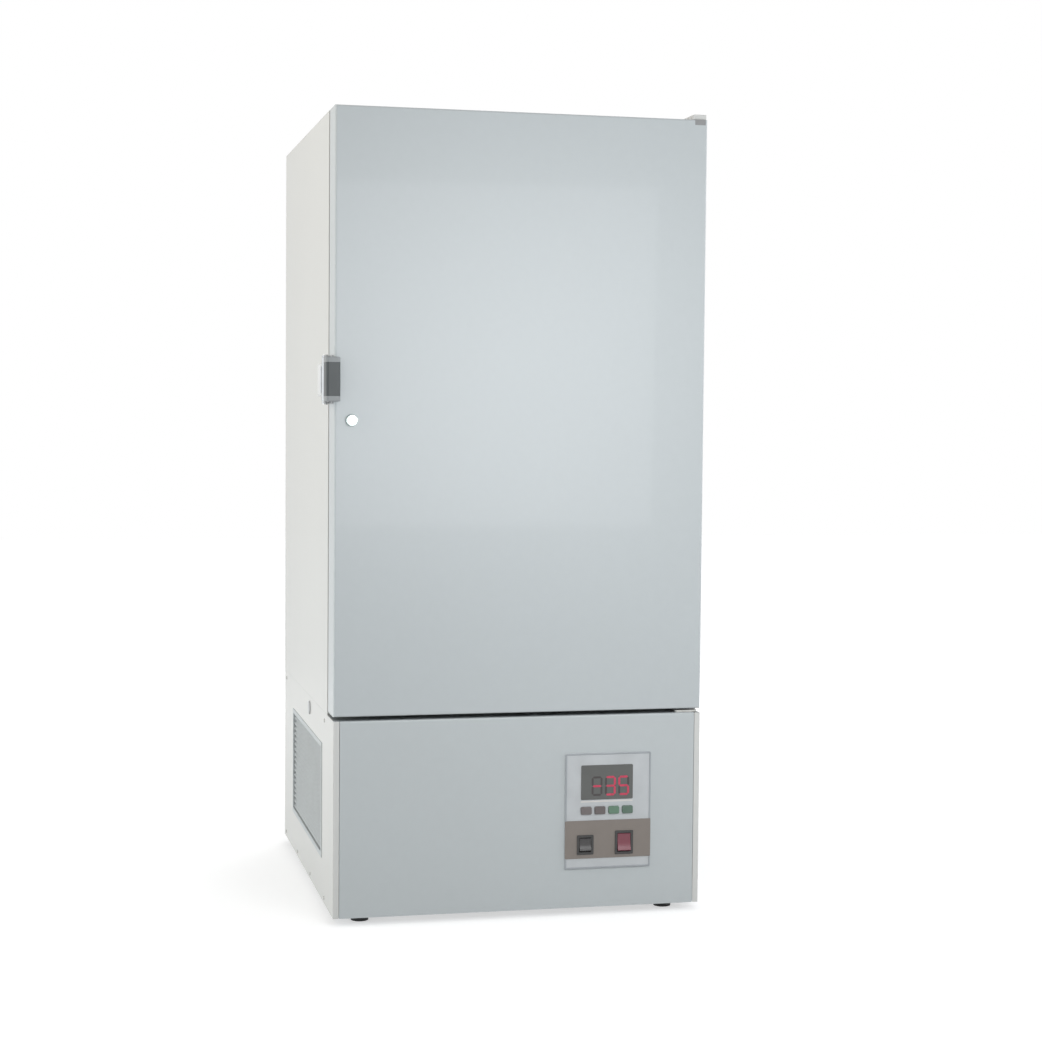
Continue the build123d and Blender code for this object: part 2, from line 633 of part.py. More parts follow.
def compressor_mounts():
    """Rubber mounts between the foot plate and the pan."""
    reach = COMPRESSOR_FOOT / 2 - 20.0
    places = GridLocations(2 * reach, 2 * reach, 2, 2)
    centre = Pos(COMPRESSOR_X, COMPRESSOR_Y, PAN_TOP + MOUNT_HEIGHT / 2)
    return group([centre * place * Cylinder(13.0, MOUNT_HEIGHT) for place in places])


def condenser():
    """Finned block with end plates that stand on the pan."""
    x0, x1 = CONDENSER_X, CONDENSER_X + CONDENSER_THICKNESS
    core = block(x0 + 16.0, x1 - 16.0, CONDENSER_FRONT, CONDENSER_BACK, CONDENSER_LOW, CONDENSER_TOP)
    block_ends = [block(x0, x1, y, y + 2.0, PAN_TOP, CONDENSER_TOP)
                  for y in (CONDENSER_FRONT, CONDENSER_BACK - 2.0)]
    body = core + block_ends[0] + block_ends[1]
    count = int(CONDENSER_WIDTH / FIN_PITCH) - 1
    first = FAN_Y - (count - 1) * FIN_PITCH / 2
    for i in range(count):
        y = first + i * FIN_PITCH
        body += block(x0, x1, y - FIN_SHEET / 2, y + FIN_SHEET / 2, CONDENSER_LOW, CONDENSER_TOP)
    middle = (x0 + x1) / 2
    for z in (condenser_inlet()[2], condenser_outlet()[2]):
        body += rod_y(CONDENSER_BACK, CONDENSER_BACK + CONDENSER_STUB, middle, z, PIPE / 2)
    return body


def condenser_inlet():
    """Open end of the condenser's upper stub."""
    return (CONDENSER_X + CONDENSER_THICKNESS / 2, CONDENSER_BACK + CONDENSER_STUB,
            CONDENSER_TOP - INLET_DROP)


def condenser_outlet():
    """Open end of the condenser's lower stub."""
    return (CONDENSER_X + CONDENSER_THICKNESS / 2, CONDENSER_BACK + CONDENSER_STUB,
            CONDENSER_LOW + OUTLET_RISE)


def fan_shroud():
    """Sheet with a round collar that leads the air from the condenser into the fan."""
    ring_radius = FAN_RADIUS + FAN_TIP_GAP
    sheet = block(SHROUD_X, SHROUD_X + SHROUD_SHEET, CONDENSER_FRONT, CONDENSER_BACK, PAN_TOP, CONDENSER_TOP)
    collar = rod_x(SHROUD_X, SHROUD_X + FAN_RING_DEPTH, FAN_Y, FAN_Z, ring_radius + SHROUD_SHEET)
    return sheet + collar - rod_x(SHROUD_X - 1, SHROUD_X + FAN_RING_DEPTH + 1, FAN_Y, FAN_Z, ring_radius)


def fan_motor():
    """Motor with its shaft, on three arms that end on the shroud's sheet."""
    motor = rod_x(MOTOR_X, MOTOR_X + MOTOR_LENGTH, FAN_Y, FAN_Z, MOTOR_RADIUS)
    motor = fillet(motor.edges().filter_by(GeomType.CIRCLE).sort_by(Axis.X)[-1], 8.0)
    motor += rod_x(SHROUD_X + 6.0, MOTOR_X, FAN_Y, FAN_Z, MOTOR_SHAFT)
    reach = FAN_RADIUS + FAN_TIP_GAP + 20.0
    for i in range(3):
        turn = Pos(0, FAN_Y, FAN_Z) * Rot(90 + 120 * i, 0, 0)
        arm = block(MOTOR_X + 8.0, MOTOR_X + 12.0, MOTOR_RADIUS - 6.0, reach, -8.0, 8.0)
        foot = block(SHROUD_X + SHROUD_SHEET, MOTOR_X + 12.0, reach - 4.0, reach, -8.0, 8.0)
        motor += turn * (arm + foot)
    return motor


def fan_blades():
    """Fan wheel: a hub with five pitched blades."""
    x0 = SHROUD_X + 6.0
    depth = FAN_RING_DEPTH - 8.0
    x1 = x0 + depth
    hub = rod_x(x0, x1, FAN_Y, FAN_Z, FAN_HUB_RADIUS)
    hub = fillet(hub.edges().filter_by(GeomType.CIRCLE).sort_by(Axis.X)[0], 5.0)
    envelope = rod_x(x0, x1, FAN_Y, FAN_Z, FAN_RADIUS)
    middle = (x0 + x1) / 2
    for i in range(FAN_BLADES):
        turn = Pos(middle, FAN_Y, FAN_Z) * Rot(360 / FAN_BLADES * i, 0, 0)
        span = FAN_RADIUS + 5.0 - (FAN_HUB_RADIUS - 4.0)
        blade = Pos(0, FAN_HUB_RADIUS - 4.0 + span / 2, 0) * Rot(0, 28, 0) * Box(2.0, span, 66.0)
        hub += (turn * blade) & envelope
    return hub - rod_x(x0 - 1, x1 + 1, FAN_Y, FAN_Z, MOTOR_SHAFT + HINGE_RUNNING)


def drier_place():
    """Start of the filter drier's axis."""
    x = CONDENSER_X + CONDENSER_THICKNESS / 2 + DRIER_OUT
    return (x, CONDENSER_BACK + DRIER_BEHIND, CONDENSER_LOW + OUTLET_RISE)


def filter_drier():
    """Copper shell with spun ends, lying along X."""
    x, y, z = drier_place()
    shell = rod_x(x, x + DRIER_LENGTH, y, z, DRIER_RADIUS)
    shell = chamfer(shell.edges().filter_by(GeomType.CIRCLE), DRIER_RADIUS * 0.5)
    saddle = block(x + SADDLE_START, x + SADDLE_START + SADDLE_WIDTH, y - 6.0, y + 6.0,
                   PAN_TOP, z - DRIER_RADIUS * 0.7)
    return shell + saddle


def refrigerant_pipes():
    """Copper pipes between the compressor, the condenser, the drier and the two shelf headers."""
    sx, sy, sz = suction_stub()
    dx, dy, dz = discharge_stub()
    ix, iy, iz = condenser_inlet()
    ox, oy, oz = condenser_outlet()
    fx, fy, fz = drier_place()
    drier_end = fx + DRIER_LENGTH
    turn = HEADER_LOW - PIPE_DROP
    suction = [(HEADER_X, HEADER_Y, HEADER_LOW), (HEADER_X, HEADER_Y, turn), (HEADER_X, sy, turn),
               (sx, sy, turn), (sx, sy, sz)]
    discharge = [(dx, dy, dz), (dx, dy, turn), (ix, dy, turn), (ix, dy, iz), (ix, iy, iz)]
    liquid = [(ox, oy, oz), (ox, fy, fz), (fx, fy, fz)]
    supply = [(drier_end, fy, fz), (drier_end + PIPE_DROP, fy, fz), (drier_end + PIPE_DROP, HEADER_Y, fz),
              (drier_end + PIPE_DROP, HEADER_Y, turn), (-HEADER_X, HEADER_Y, turn),
              (-HEADER_X, HEADER_Y, HEADER_LOW)]
    return group([tube(route, PIPE, PIPE_BEND) for route in (suction, discharge, liquid, supply)])


def electrical_box():
    """Terminal and relay box that stands on the pan."""
    x1 = INNER_HALF - PAN_SHEET - 30.0
    y0 = 120.0
    box = block(x1 - BOX_WIDTH, x1, y0, y0 + BOX_DEPTH, PAN_TOP, PAN_TOP + BOX_HEIGHT)
    box = fillet(box.edges().filter_by(Axis.Z), 6.0)
    lid = block(x1 - BOX_WIDTH - 2.0, x1 + 2.0, y0 - 2.0, y0 + BOX_DEPTH + 2.0,
                PAN_TOP + BOX_HEIGHT, PAN_TOP + BOX_HEIGHT + 10.0)
    return box + fillet(lid.edges().filter_by(Axis.Z), 7.0)


# Control panel

def control_window(front, back):
    """Opening in the front cover behind the display and the keys."""
    half = LENS_WIDTH / 2 + 8.0
    return block(LENS_CENTRE_X - half, LENS_CENTRE_X + half, front, back,
                 KEY_CENTRE_Z - KEY_HEIGHT / 2 - 6.0, LENS_CENTRE_Z + LENS_HEIGHT / 2 + 6.0)


def control_box():
    """Housing of the controller, behind the opening."""
    half = LENS_WIDTH / 2 + 8.0
    low = KEY_CENTRE_Z - KEY_HEIGHT / 2 - 6.0
    high = LENS_CENTRE_Z + LENS_HEIGHT / 2 + 6.0
    w = CONTROL_BOX_WALL
    outer = block(LENS_CENTRE_X - half - w, LENS_CENTRE_X + half + w, SHEET, SHEET + CONTROL_BOX_DEPTH,
                  low - w, high + w)
    return outer - block(LENS_CENTRE_X - half, LENS_CENTRE_X + half, SHEET - 1, SHEET + CONTROL_BOX_DEPTH - w,
                         low, high)


def key_places():
    """Centre X of each key."""
    first = LENS_CENTRE_X - KEY_PITCH * (KEY_COUNT - 1) / 2
    return [first + KEY_PITCH * i for i in range(KEY_COUNT)]


def control_plate():
    """Moulded fascia on the front cover, with holes for the keys and switches."""
    plate = front_plate(PLATE_LEFT, PLATE_LEFT + PLATE_WIDTH, PLATE_BOTTOM, PLATE_BOTTOM + PLATE_HEIGHT,
                        0, -PLATE_SHEET, PLATE_CORNER)
    front_edges = plate.faces().sort_by(Axis.Y)[0].edges()
    plate = fillet(front_edges, 1.0)
    for x in key_places():
        plate -= key_outline(x, -PLATE_SHEET - 1, 1, KEY_PLAY)
    return plate - switch_tunnel(POWER_ROCKER) - switch_tunnel(ALARM_ROCKER)


def key_outline(x, front, back, extra):
    """Prism of a key's outline, grown by a clearance."""
    return front_plate(x - KEY_WIDTH / 2 - extra, x + KEY_WIDTH / 2 + extra,
                       KEY_CENTRE_Z - KEY_HEIGHT / 2 - extra, KEY_CENTRE_Z + KEY_HEIGHT / 2 + extra,
                       back, front, 3.0 + extra)


def key_cap(x):
    """Push key with a rounded front edge."""
    cap = key_outline(x, -PLATE_SHEET - KEY_PROUD, KEY_STEM, 0)
    return fillet(cap.faces().sort_by(Axis.Y)[0].edges(), 1.2)


def display_lens():
    """Dark window of the temperature display."""
    lens = front_plate(LENS_CENTRE_X - LENS_WIDTH / 2, LENS_CENTRE_X + LENS_WIDTH / 2,
                       LENS_CENTRE_Z - LENS_HEIGHT / 2, LENS_CENTRE_Z + LENS_HEIGHT / 2,
                       -PLATE_SHEET, -PLATE_SHEET - LENS_SHEET, 3.0)
    return chamfer(lens.faces().sort_by(Axis.Y)[0].edges(), 0.8)


def switch_strip():
    """Grey plate that holds the two rocker switches."""
    strip = front_plate(PLATE_LEFT, PLATE_LEFT + PLATE_WIDTH, STRIP_BOTTOM, STRIP_BOTTOM + STRIP_HEIGHT,
                        -PLATE_SHEET, STRIP_FRONT, 2.0)
    return strip - switch_tunnel(POWER_ROCKER) - switch_tunnel(ALARM_ROCKER)


def switch_tunnel(switch):
    """Space of a switch's tunnel through the strip, the fascia and the front cover."""
    x, z, width, height = switch
    grow = ROCKER_PLAY + TUNNEL_WALL
    return block(x - width / 2 - grow, x + width / 2 + grow, STRIP_FRONT - 1, STRIP_FRONT + TUNNEL_DEPTH,
                 z - height / 2 - grow, z + height / 2 + grow)


def rocker_frame(switch):
    """Snap-in frame: a flange on the strip and a tunnel with a closed back."""
    x, z, width, height = switch
    grow = ROCKER_PLAY + TUNNEL_WALL
    front = STRIP_FRONT - FRAME_PROUD
    flange = front_plate(x - width / 2 - grow - FRAME_RIM, x + width / 2 + grow + FRAME_RIM,
                         z - height / 2 - grow - FRAME_RIM, z + height / 2 + grow + FRAME_RIM,
                         STRIP_FRONT, front, 2.0)
    tunnel = block(x - width / 2 - grow, x + width / 2 + grow, STRIP_FRONT, STRIP_FRONT + TUNNEL_DEPTH,
                   z - height / 2 - grow, z + height / 2 + grow)
    cavity = block(x - width / 2 - ROCKER_PLAY, x + width / 2 + ROCKER_PLAY,
                   front - 1, STRIP_FRONT + TUNNEL_DEPTH - TUNNEL_WALL,
                   z - height / 2 - ROCKER_PLAY, z + height / 2 + ROCKER_PLAY)
    return flange + tunnel - cavity


def rocker(switch):
    """Rocker with a dished face and round ends about its pivot, at rest with its lower end out."""
    x, z, width, height = switch
    radius = height / 2
    pivot = STRIP_FRONT - FRAME_PROUD + ROCKER_SINK
    rise = ROCKER_SINK + ROCKER_PROUD
    reach = (radius ** 2 - rise ** 2) ** 0.5
    heel = radius * sin(radians(ROCKER_HEEL)), radius * cos(radians(ROCKER_HEEL))
    keel = heel[0] + ROCKER_KEEL, heel[1] * 0.3
    ends = [ThreePointArc((-rise, side * reach), (0, side * radius), (heel[0], side * heel[1]))
            for side in (1, -1)]
    back = Polyline(heel, keel, (keel[0], -keel[1]), (heel[0], -heel[1]))
    face = ThreePointArc((-rise, reach), (ROCKER_DISH - rise, 0), (-rise, -reach))
    plane = Plane(origin=(x - width / 2, pivot, z), x_dir=(0, 1, 0), z_dir=(1, 0, 0))
    body = extrude(plane * make_face([*ends, back, face]), width)
    return body.rotate(Axis((x, pivot, z), (1, 0, 0)), -ROCKER_TILT)


# Door

def door_space(inset, back):
    """Door's outline, inset on every side but the back, with rounded front and side edges."""
    body = block(-HALF + inset, HALF - inset, inset, back, DOOR_BOTTOM + inset, DOOR_TOP - inset)
    radius = DOOR_EDGE_RADIUS - inset
    edges = body.faces().sort_by(Axis.Y)[0].edges()
    return fillet(edges, radius)


def door_openings():
    """Spaces in the door of the hinge bushes and the lock's sleeve."""
    sleeve = rod_y(-1, DOOR_THICKNESS + 1, LOCK_X, LOCK_CENTRE, LOCK_SLEEVE_RADIUS)
    return [bush_block(1.0), bush_boss(), lower_bush_body(0), sleeve]


def door_skin():
    """Painted steel pan: the front and four sides of the door."""
    skin = door_space(0, DOOR_FOAM_BACK) - door_space(SHEET, DOOR_FOAM_BACK + 1)
    for opening in door_openings():
        skin -= opening
    return skin


def door_foam():
    """Foamed core of the door."""
    foam = door_space(SHEET, DOOR_FOAM_BACK)
    for opening in door_openings():
        foam -= opening
    return foam


def door_inner_liner():
    """Moulded inner face of the door with its raised middle."""
    sheet = block(-HALF, HALF, DOOR_FOAM_BACK, DOOR_THICKNESS, DOOR_BOTTOM, DOOR_TOP)
    half = CHAMBER_HALF - DOOR_PAD_INSET
    pad = block(-half, half, DOOR_THICKNESS, DOOR_THICKNESS + DOOR_PAD_HEIGHT,
                CHAMBER_FLOOR + DOOR_PAD_INSET, CHAMBER_TOP - DOOR_PAD_INSET)
    pad = fillet(pad.edges().filter_by(Axis.Y), 25.0)
    pad = chamfer(pad.faces().sort_by(Axis.Y)[-1].edges(), DOOR_PAD_HEIGHT * 0.7)
    return sheet + pad - rod_y(0, DOOR_THICKNESS + 1, LOCK_X, LOCK_CENTRE, LOCK_SLEEVE_RADIUS)


def door_gasket():
    """Magnetic gasket round the chamber's mouth."""
    back = DOOR_THICKNESS
    front = CABINET_FRONT - SOFT_CLEARANCE
    inner = GASKET_INSET
    outer = GASKET_INSET + GASKET_WIDTH
    rings = []
    for grow, corner in ((outer, 20.0), (inner, 6.0)):
        rings.append(front_plate(-CHAMBER_HALF - grow, CHAMBER_HALF + grow, CHAMBER_FLOOR - grow,
                                 CHAMBER_TOP + grow, front, back, corner))
    return rings[0] - rings[1]


# Hinges

def bush_block(clear_front):
    """Block of the upper bush in the notch of the door's top corner; its front may stand further out."""
    return block(HINGE_X - BUSH_BLOCK_WIDTH / 2 - 1.0, HINGE_X + BUSH_BLOCK_WIDTH / 2 - 1.0,
                 0.6 - clear_front, BUSH_BLOCK_LENGTH, DOOR_TOP - BUSH_BLOCK_HEIGHT, DOOR_TOP + clear_front)


def bush_boss():
    """Round lower part of the upper bush."""
    return rod_z(DOOR_TOP - BUSH_DEPTH, DOOR_TOP - BUSH_BLOCK_HEIGHT, HINGE_X, HINGE_SETBACK, BUSH_RADIUS)


def lower_bush_body(extra):
    """Lower bush in the door's bottom, with a flange under it of the given depth."""
    body = rod_z(DOOR_BOTTOM - 1, DOOR_BOTTOM + BUSH_DEPTH, HINGE_X, HINGE_SETBACK, BUSH_RADIUS)
    if extra:
        body += rod_z(DOOR_BOTTOM - extra, DOOR_BOTTOM, HINGE_X, HINGE_SETBACK, BUSH_RADIUS + 3.0)
    return body


def hinge_bushes():
    """Black nylon bushes in the door's top and bottom corners."""
    bore = HINGE_PIN_RADIUS + HINGE_RUNNING
    upper = bush_block(0) + bush_boss()
    upper -= rod_z(DOOR_TOP - BUSH_DEPTH + 2.0, DOOR_TOP + 1, HINGE_X, HINGE_SETBACK, bore)
    flange = DOOR_BOTTOM_GAP - HINGE_PLATE - SOFT_CLEARANCE
    lower = lower_bush_body(flange)
    lower -= rod_z(DOOR_BOTTOM - flange - 1, DOOR_BOTTOM + BUSH_DEPTH - 2.0, HINGE_X, HINGE_SETBACK, bore)
    return group([upper, lower])


def hinge_pins():
    """Steel pins of the upper and lower hinge plates."""
    upper = rod_z(DOOR_TOP - PIN_REACH, HEIGHT + HINGE_PLATE, HINGE_X, HINGE_SETBACK, HINGE_PIN_RADIUS)
    upper = chamfer(upper.edges().filter_by(GeomType.CIRCLE).sort_by(Axis.Z)[0], 1.0)
    lower = rod_z(MACHINE_TOP, DOOR_BOTTOM + PIN_REACH, HINGE_X, HINGE_SETBACK, HINGE_PIN_RADIUS)
    lower = chamfer(lower.edges().filter_by(GeomType.CIRCLE).sort_by(Axis.Z)[-1], 1.0)
    return group([upper, lower])


def hinge_plate(z, back, left):
    """Flat hinge plate with a rounded front end and a hole for its pin."""
    half = HINGE_PLATE_WIDTH / 2
    plate = block(HINGE_X - half - left, HINGE_X + half, HINGE_PLATE_FRONT, back, z, z + HINGE_PLATE)
    plate = fillet(plate.edges().filter_by(Axis.Z).sort_by(Axis.Y)[:2], HINGE_PLATE_CORNER)
    return plate - rod_z(z - 1, z + HINGE_PLATE + 1, HINGE_X, HINGE_SETBACK, HINGE_PIN_RADIUS + HINGE_RUNNING)


def top_hinge_plate():
    """Plate screwed on the roof that reaches over the door."""
    return hinge_plate(HEIGHT, HINGE_PLATE_FRONT + TOP_HINGE_LENGTH, 0)


def bottom_hinge_plate():
    """Plate screwed on the machine deck under the door."""
    return hinge_plate(MACHINE_TOP, CABINET_FRONT, LOWER_HINGE_EXTRA)


def hinge_cover():
    """Painted cap over the upper hinge plate."""
    wall = HINGE_COVER_WALL
    half = HINGE_PLATE_WIDTH / 2 + SOFT_CLEARANCE
    front = HINGE_PLATE_FRONT - SOFT_CLEARANCE
    back = HINGE_PLATE_FRONT + TOP_HINGE_LENGTH + SOFT_CLEARANCE
    outer = block(HINGE_X - half - wall, HINGE_X + half + wall, front - wall, back + wall,
                  HEIGHT, HEIGHT + HINGE_COVER_HEIGHT)
    outer = fillet(outer.faces().sort_by(Axis.Z)[-1].edges(), 2.5)
    return outer - block(HINGE_X - half, HINGE_X + half, front, back, HEIGHT - 1,
                         HEIGHT + HINGE_COVER_HEIGHT - wall)


# Edge handle with opening cam

def handle_bracket():
    """Cast bracket on the door's side with two ears for the lever's pin."""
    back = HANDLE_PIVOT_SETBACK + 14.0
    base = block(-HALF - HANDLE_PLATE, -HALF, HANDLE_PLATE_FRONT, back, HANDLE_LOW, HANDLE_HIGH)
    base = fillet(base.edges().filter_by(Axis.X), 4.0)
    bracket = base
    for z in (HANDLE_LOW, HANDLE_HIGH - HANDLE_EAR):
        ear = block(PIVOT_X, -HALF - HANDLE_PLATE, HANDLE_PIVOT_SETBACK - KNUCKLE_RADIUS,
                    HANDLE_PIVOT_SETBACK + KNUCKLE_RADIUS, z, z + HANDLE_EAR)
        bracket += ear + rod_z(z, z + HANDLE_EAR, PIVOT_X, HANDLE_PIVOT_SETBACK, KNUCKLE_RADIUS)
    return bracket - rod_z(HANDLE_LOW - 1, HANDLE_HIGH + 1, PIVOT_X, HANDLE_PIVOT_SETBACK,
                           HANDLE_PIN_RADIUS + HINGE_RUNNING)


def handle_pin():
    """Pivot pin of the lever, with a head at each end."""
    pin = rod_z(HANDLE_LOW, HANDLE_HIGH, PIVOT_X, HANDLE_PIVOT_SETBACK, HANDLE_PIN_RADIUS)
    for z in (HANDLE_LOW - 2.0, HANDLE_HIGH):
        pin += rod_z(z, z + 2.0, PIVOT_X, HANDLE_PIVOT_SETBACK, HANDLE_PIN_RADIUS + 2.0)
    return pin


def handle_lever():
    """Cast lever: a knuckle on the pin, an arm to the grip and the cam that pushes off the strike."""
    height = LEVER_HIGH - LEVER_LOW
    knuckle = rod_z(LEVER_LOW, LEVER_HIGH, PIVOT_X, HANDLE_PIVOT_SETBACK, KNUCKLE_RADIUS)
    arm = block(PIVOT_X - LEVER_PLATE / 2, PIVOT_X + LEVER_PLATE / 2, -GRIP_FRONT + GRIP_THICKNESS,
                HANDLE_PIVOT_SETBACK, LEVER_LOW, LEVER_HIGH)
    cam = Pos(PIVOT_X, HANDLE_PIVOT_SETBACK, (LEVER_LOW + LEVER_HIGH) / 2) * Rot(0, 0, CAM_ANGLE) * (
        Pos((CAM_REACH - 3.0) / 2, 0, 0) * Box(CAM_REACH - 3.0, 6.0, height * 0.6)
        + Pos(CAM_REACH - 3.0, 0, 0) * Cylinder(3.0, height * 0.6))
    return knuckle + arm + cam - rod_z(LEVER_LOW - 1, LEVER_HIGH + 1, PIVOT_X, HANDLE_PIVOT_SETBACK,
                                       HANDLE_PIN_RADIUS + HINGE_RUNNING)


def handle_grip():
    """Dark moulded grip on the lever's end that reaches round the door's front corner."""
    outer = -HALF - GRIP_OUT
    front = -GRIP_FRONT
    tip = -HALF + GRIP_OVERLAP
    inner = PIVOT_X + LEVER_PLATE / 2 + 3.0
    with BuildPart() as body:
        with BuildSketch(Plane.XY.offset(LEVER_LOW)):
            with BuildLine():
                Polyline((outer, GRIP_BACK), (outer, front), (tip, front),
                         (tip, front + GRIP_THICKNESS - 3.0), (tip - 5.0, front + GRIP_THICKNESS),
                         (inner, front + GRIP_THICKNESS), (inner, GRIP_BACK), close=True)
            make_face()
        extrude(amount=LEVER_HIGH - LEVER_LOW)
        fillet(body.edges().filter_by(Axis.Z).sort_by(Axis.Y)[:2], 7.0)
        fillet(body.faces().sort_by(Axis.Z)[-1].edges(), 2.0)
        fillet(body.faces().sort_by(Axis.Z)[0].edges(), 2.0)
    return body.part - block(PIVOT_X - LEVER_PLATE / 2, PIVOT_X + LEVER_PLATE / 2, front + GRIP_THICKNESS,
                             GRIP_BACK + 1, LEVER_LOW - 1, LEVER_HIGH + 1)


def cam_limit():
    """Furthest back that the cam's tip reaches over the lever's swing."""
    angle = radians(CAM_ANGLE - LEVER_SWING)
    return HANDLE_PIVOT_SETBACK + (CAM_REACH - 3.0) * sin(angle) + 3.0


def strike():
    """Pale moulded strike on the cabinet's side that the lever's cam pushes against."""
    front = cam_limit() + CAM_CLEARANCE
    back = front + STRIKE_LENGTH
    outer = -HALF - STRIKE_OUT
    nose_inner = -HALF - STRIKE_NOSE_GAP
    outline = Polyline((outer, front), (nose_inner, front), (nose_inner, CABINET_FRONT),
                       (-HALF, CABINET_FRONT), (-HALF, back), (-HALF - STRIKE_OUT * 0.3, back),
                       (outer, back - STRIKE_LENGTH * 0.4), close=True)
    plane = Plane.XY.offset(HANDLE_CENTRE - STRIKE_HEIGHT / 2)
    body = extrude(plane * make_face(outline), STRIKE_HEIGHT)
    return fillet(body.faces().sort_by(Axis.X)[0].edges(), 4.0)


# Key lock

def lock_barrel():
    """Chrome lock case: a flange on the door's front and a sleeve through the door."""
    flange = rod_y(-LOCK_PROUD, 0, LOCK_X, LOCK_CENTRE, LOCK_FLANGE_RADIUS)
    flange = fillet(flange.edges().filter_by(GeomType.CIRCLE).sort_by(Axis.Y)[0], 2.5)
    case = flange + rod_y(0, DOOR_THICKNESS, LOCK_X, LOCK_CENTRE, LOCK_SLEEVE_RADIUS)
    case -= rod_y(-LOCK_PROUD - 1, -LOCK_PROUD + LOCK_FACE_DEPTH, LOCK_X, LOCK_CENTRE,
                  LOCK_FACE_RADIUS + LOCK_RUNNING)
    return case - rod_y(-LOCK_PROUD, DOOR_THICKNESS + 1, LOCK_X, LOCK_CENTRE, LOCK_ROD_RADIUS + LOCK_RUNNING)


def lock_core():
    """Turning core: a face with the key's slot, a rod through the door and the tongue behind it."""
    face = rod_y(-LOCK_PROUD, -LOCK_PROUD + LOCK_FACE_DEPTH - LOCK_RUNNING, LOCK_X, LOCK_CENTRE,
                 LOCK_FACE_RADIUS)
    face -= block(LOCK_X - 0.9, LOCK_X + 0.9, -LOCK_PROUD - 1, -LOCK_PROUD + 3.0,
                  LOCK_CENTRE - 4.0, LOCK_CENTRE + 4.0)
    rod = rod_y(-LOCK_PROUD + 3.5, TONGUE_BACK, LOCK_X, LOCK_CENTRE, LOCK_ROD_RADIUS)
    tongue = block(LOCK_X - TONGUE_WIDTH / 2, LOCK_X + TONGUE_WIDTH / 2,
                   TONGUE_BACK - TONGUE_SHEET, TONGUE_BACK,
                   LOCK_CENTRE - TONGUE_WIDTH / 2, LOCK_CENTRE + TONGUE_LENGTH)
    return face + rod + fillet(tongue.edges().filter_by(Axis.Y), 3.0)


def lock_striker():
    """Folded catch on the face frame; the turned tongue lies behind its lip."""
    low = LOCK_CENTRE - STRIKER_HEIGHT / 2
    high = LOCK_CENTRE + STRIKER_HEIGHT / 2
    lip_back = TONGUE_BACK - TONGUE_SHEET - 1.0
    web = LOCK_X - TONGUE_LENGTH - 1.2
    lip = block(web - STRIKER_SHEET, web + STRIKER_LIP, lip_back - STRIKER_SHEET, lip_back, low, high)
    return lip + block(web - STRIKER_SHEET, web, lip_back, CABINET_FRONT, low, high)


def freezer():
    """Every node of the freezer, by name."""
    nodes = {
        "base_pan": base_pan(),
        "levelling_feet": levelling_feet(),
        "machine_deck": machine_deck(),
        "lower_side_panel_left": left_lower_side_panel(),
        "lower_side_panel_right": mirrored(lower_side_panel()),
        "vent_grilles": group([vent_grille(), mirrored(vent_grille())]),
        "lower_front_panel": lower_front_panel(),
        "rear_cover": rear_cover(),
        "cable_plug": cable_plug(),
        "cord_gland": cord_gland(),
        "upper_side_panels": group([upper_side_panel(), mirrored(upper_side_panel())]),
        "top_panel": top_panel(),
        "rear_panel": rear_panel(),
        "face_frame": face_frame(),
        "breaker_frame": breaker_frame(),
        "insulation_foam": insulation_foam(),
        "inner_liner": inner_liner(),
        "shelf_rails": shelf_rails(),
        "shelf_coils": shelf_coils(),
        "shelf_headers": shelf_headers(),
        "temperature_probe": temperature_probe(),
        "hinge_plates": group([top_hinge_plate(), bottom_hinge_plate()]),
        "hinge_pins": hinge_pins(),
        "hinge_cover": hinge_cover(),
        "handle_strike": strike(),
        "lock_striker": lock_striker(),
        "compressor": compressor(),
        "compressor_mounts": compressor_mounts(),
        "condenser": condenser(),
        "fan_shroud": fan_shroud(),
        "fan_motor": fan_motor(),
        "fan_blades": fan_blades(),
        "filter_drier": filter_drier(),
        "refrigerant_pipes": refrigerant_pipes(),
        "electrical_box": electrical_box(),
        "control_box": control_box(),
        "control_plate": control_plate(),
        "display_lens": display_lens(),
        "switch_strip": switch_strip(),
        "rocker_frames": group([rocker_frame(POWER_ROCKER), rocker_frame(ALARM_ROCKER)]),
        "power_rocker": rocker(POWER_ROCKER),
        "alarm_rocker": rocker(ALARM_ROCKER),
        "door_skin": door_skin(),
        "door_foam": door_foam(),
        "door_inner_liner": door_inner_liner(),
        "door_gasket": door_gasket(),
        "hinge_bushes": hinge_bushes(),
        "handle_bracket": handle_bracket(),
        "handle_pin": handle_pin(),
        "handle_lever": handle_lever(),
        "handle_grip": handle_grip(),
        "lock_barrel": lock_barrel(),
        "lock_core": lock_core(),
    }
    for number, top in enumerate(SHELF_TOPS, 1):
        nodes[f"evaporator_shelf_{number}"] = shelf_plate(top)
    for number, x in enumerate(key_places(), 1):
        nodes[f"key_{number}"] = key_cap(x)
    return nodes


def write_parts(nodes):
    """Moves the origin to the middle of the whole freezer's base and writes one file for each node."""
    whole = Compound(children=[Compound(node.solids()) for node in nodes.values()]).bounding_box()
    shift = Pos(-(whole.min.X + whole.max.X) / 2, -(whole.min.Y + whole.max.Y) / 2, -whole.min.Z)
    print("origin moved by", tuple(shift.position), "overall size", tuple(whole.size))
    os.makedirs("parts", exist_ok=True)
    for name, node in nodes.items():
        export_step(shift * Compound(node.solids()), f"parts/{name}.step")


write_parts(freezer())
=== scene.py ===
"""Looks of an upright quick freezer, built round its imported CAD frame. Metres, X right, Y back, Z up."""
import math

import bpy
import numpy as np
from mathutils import Matrix, Vector


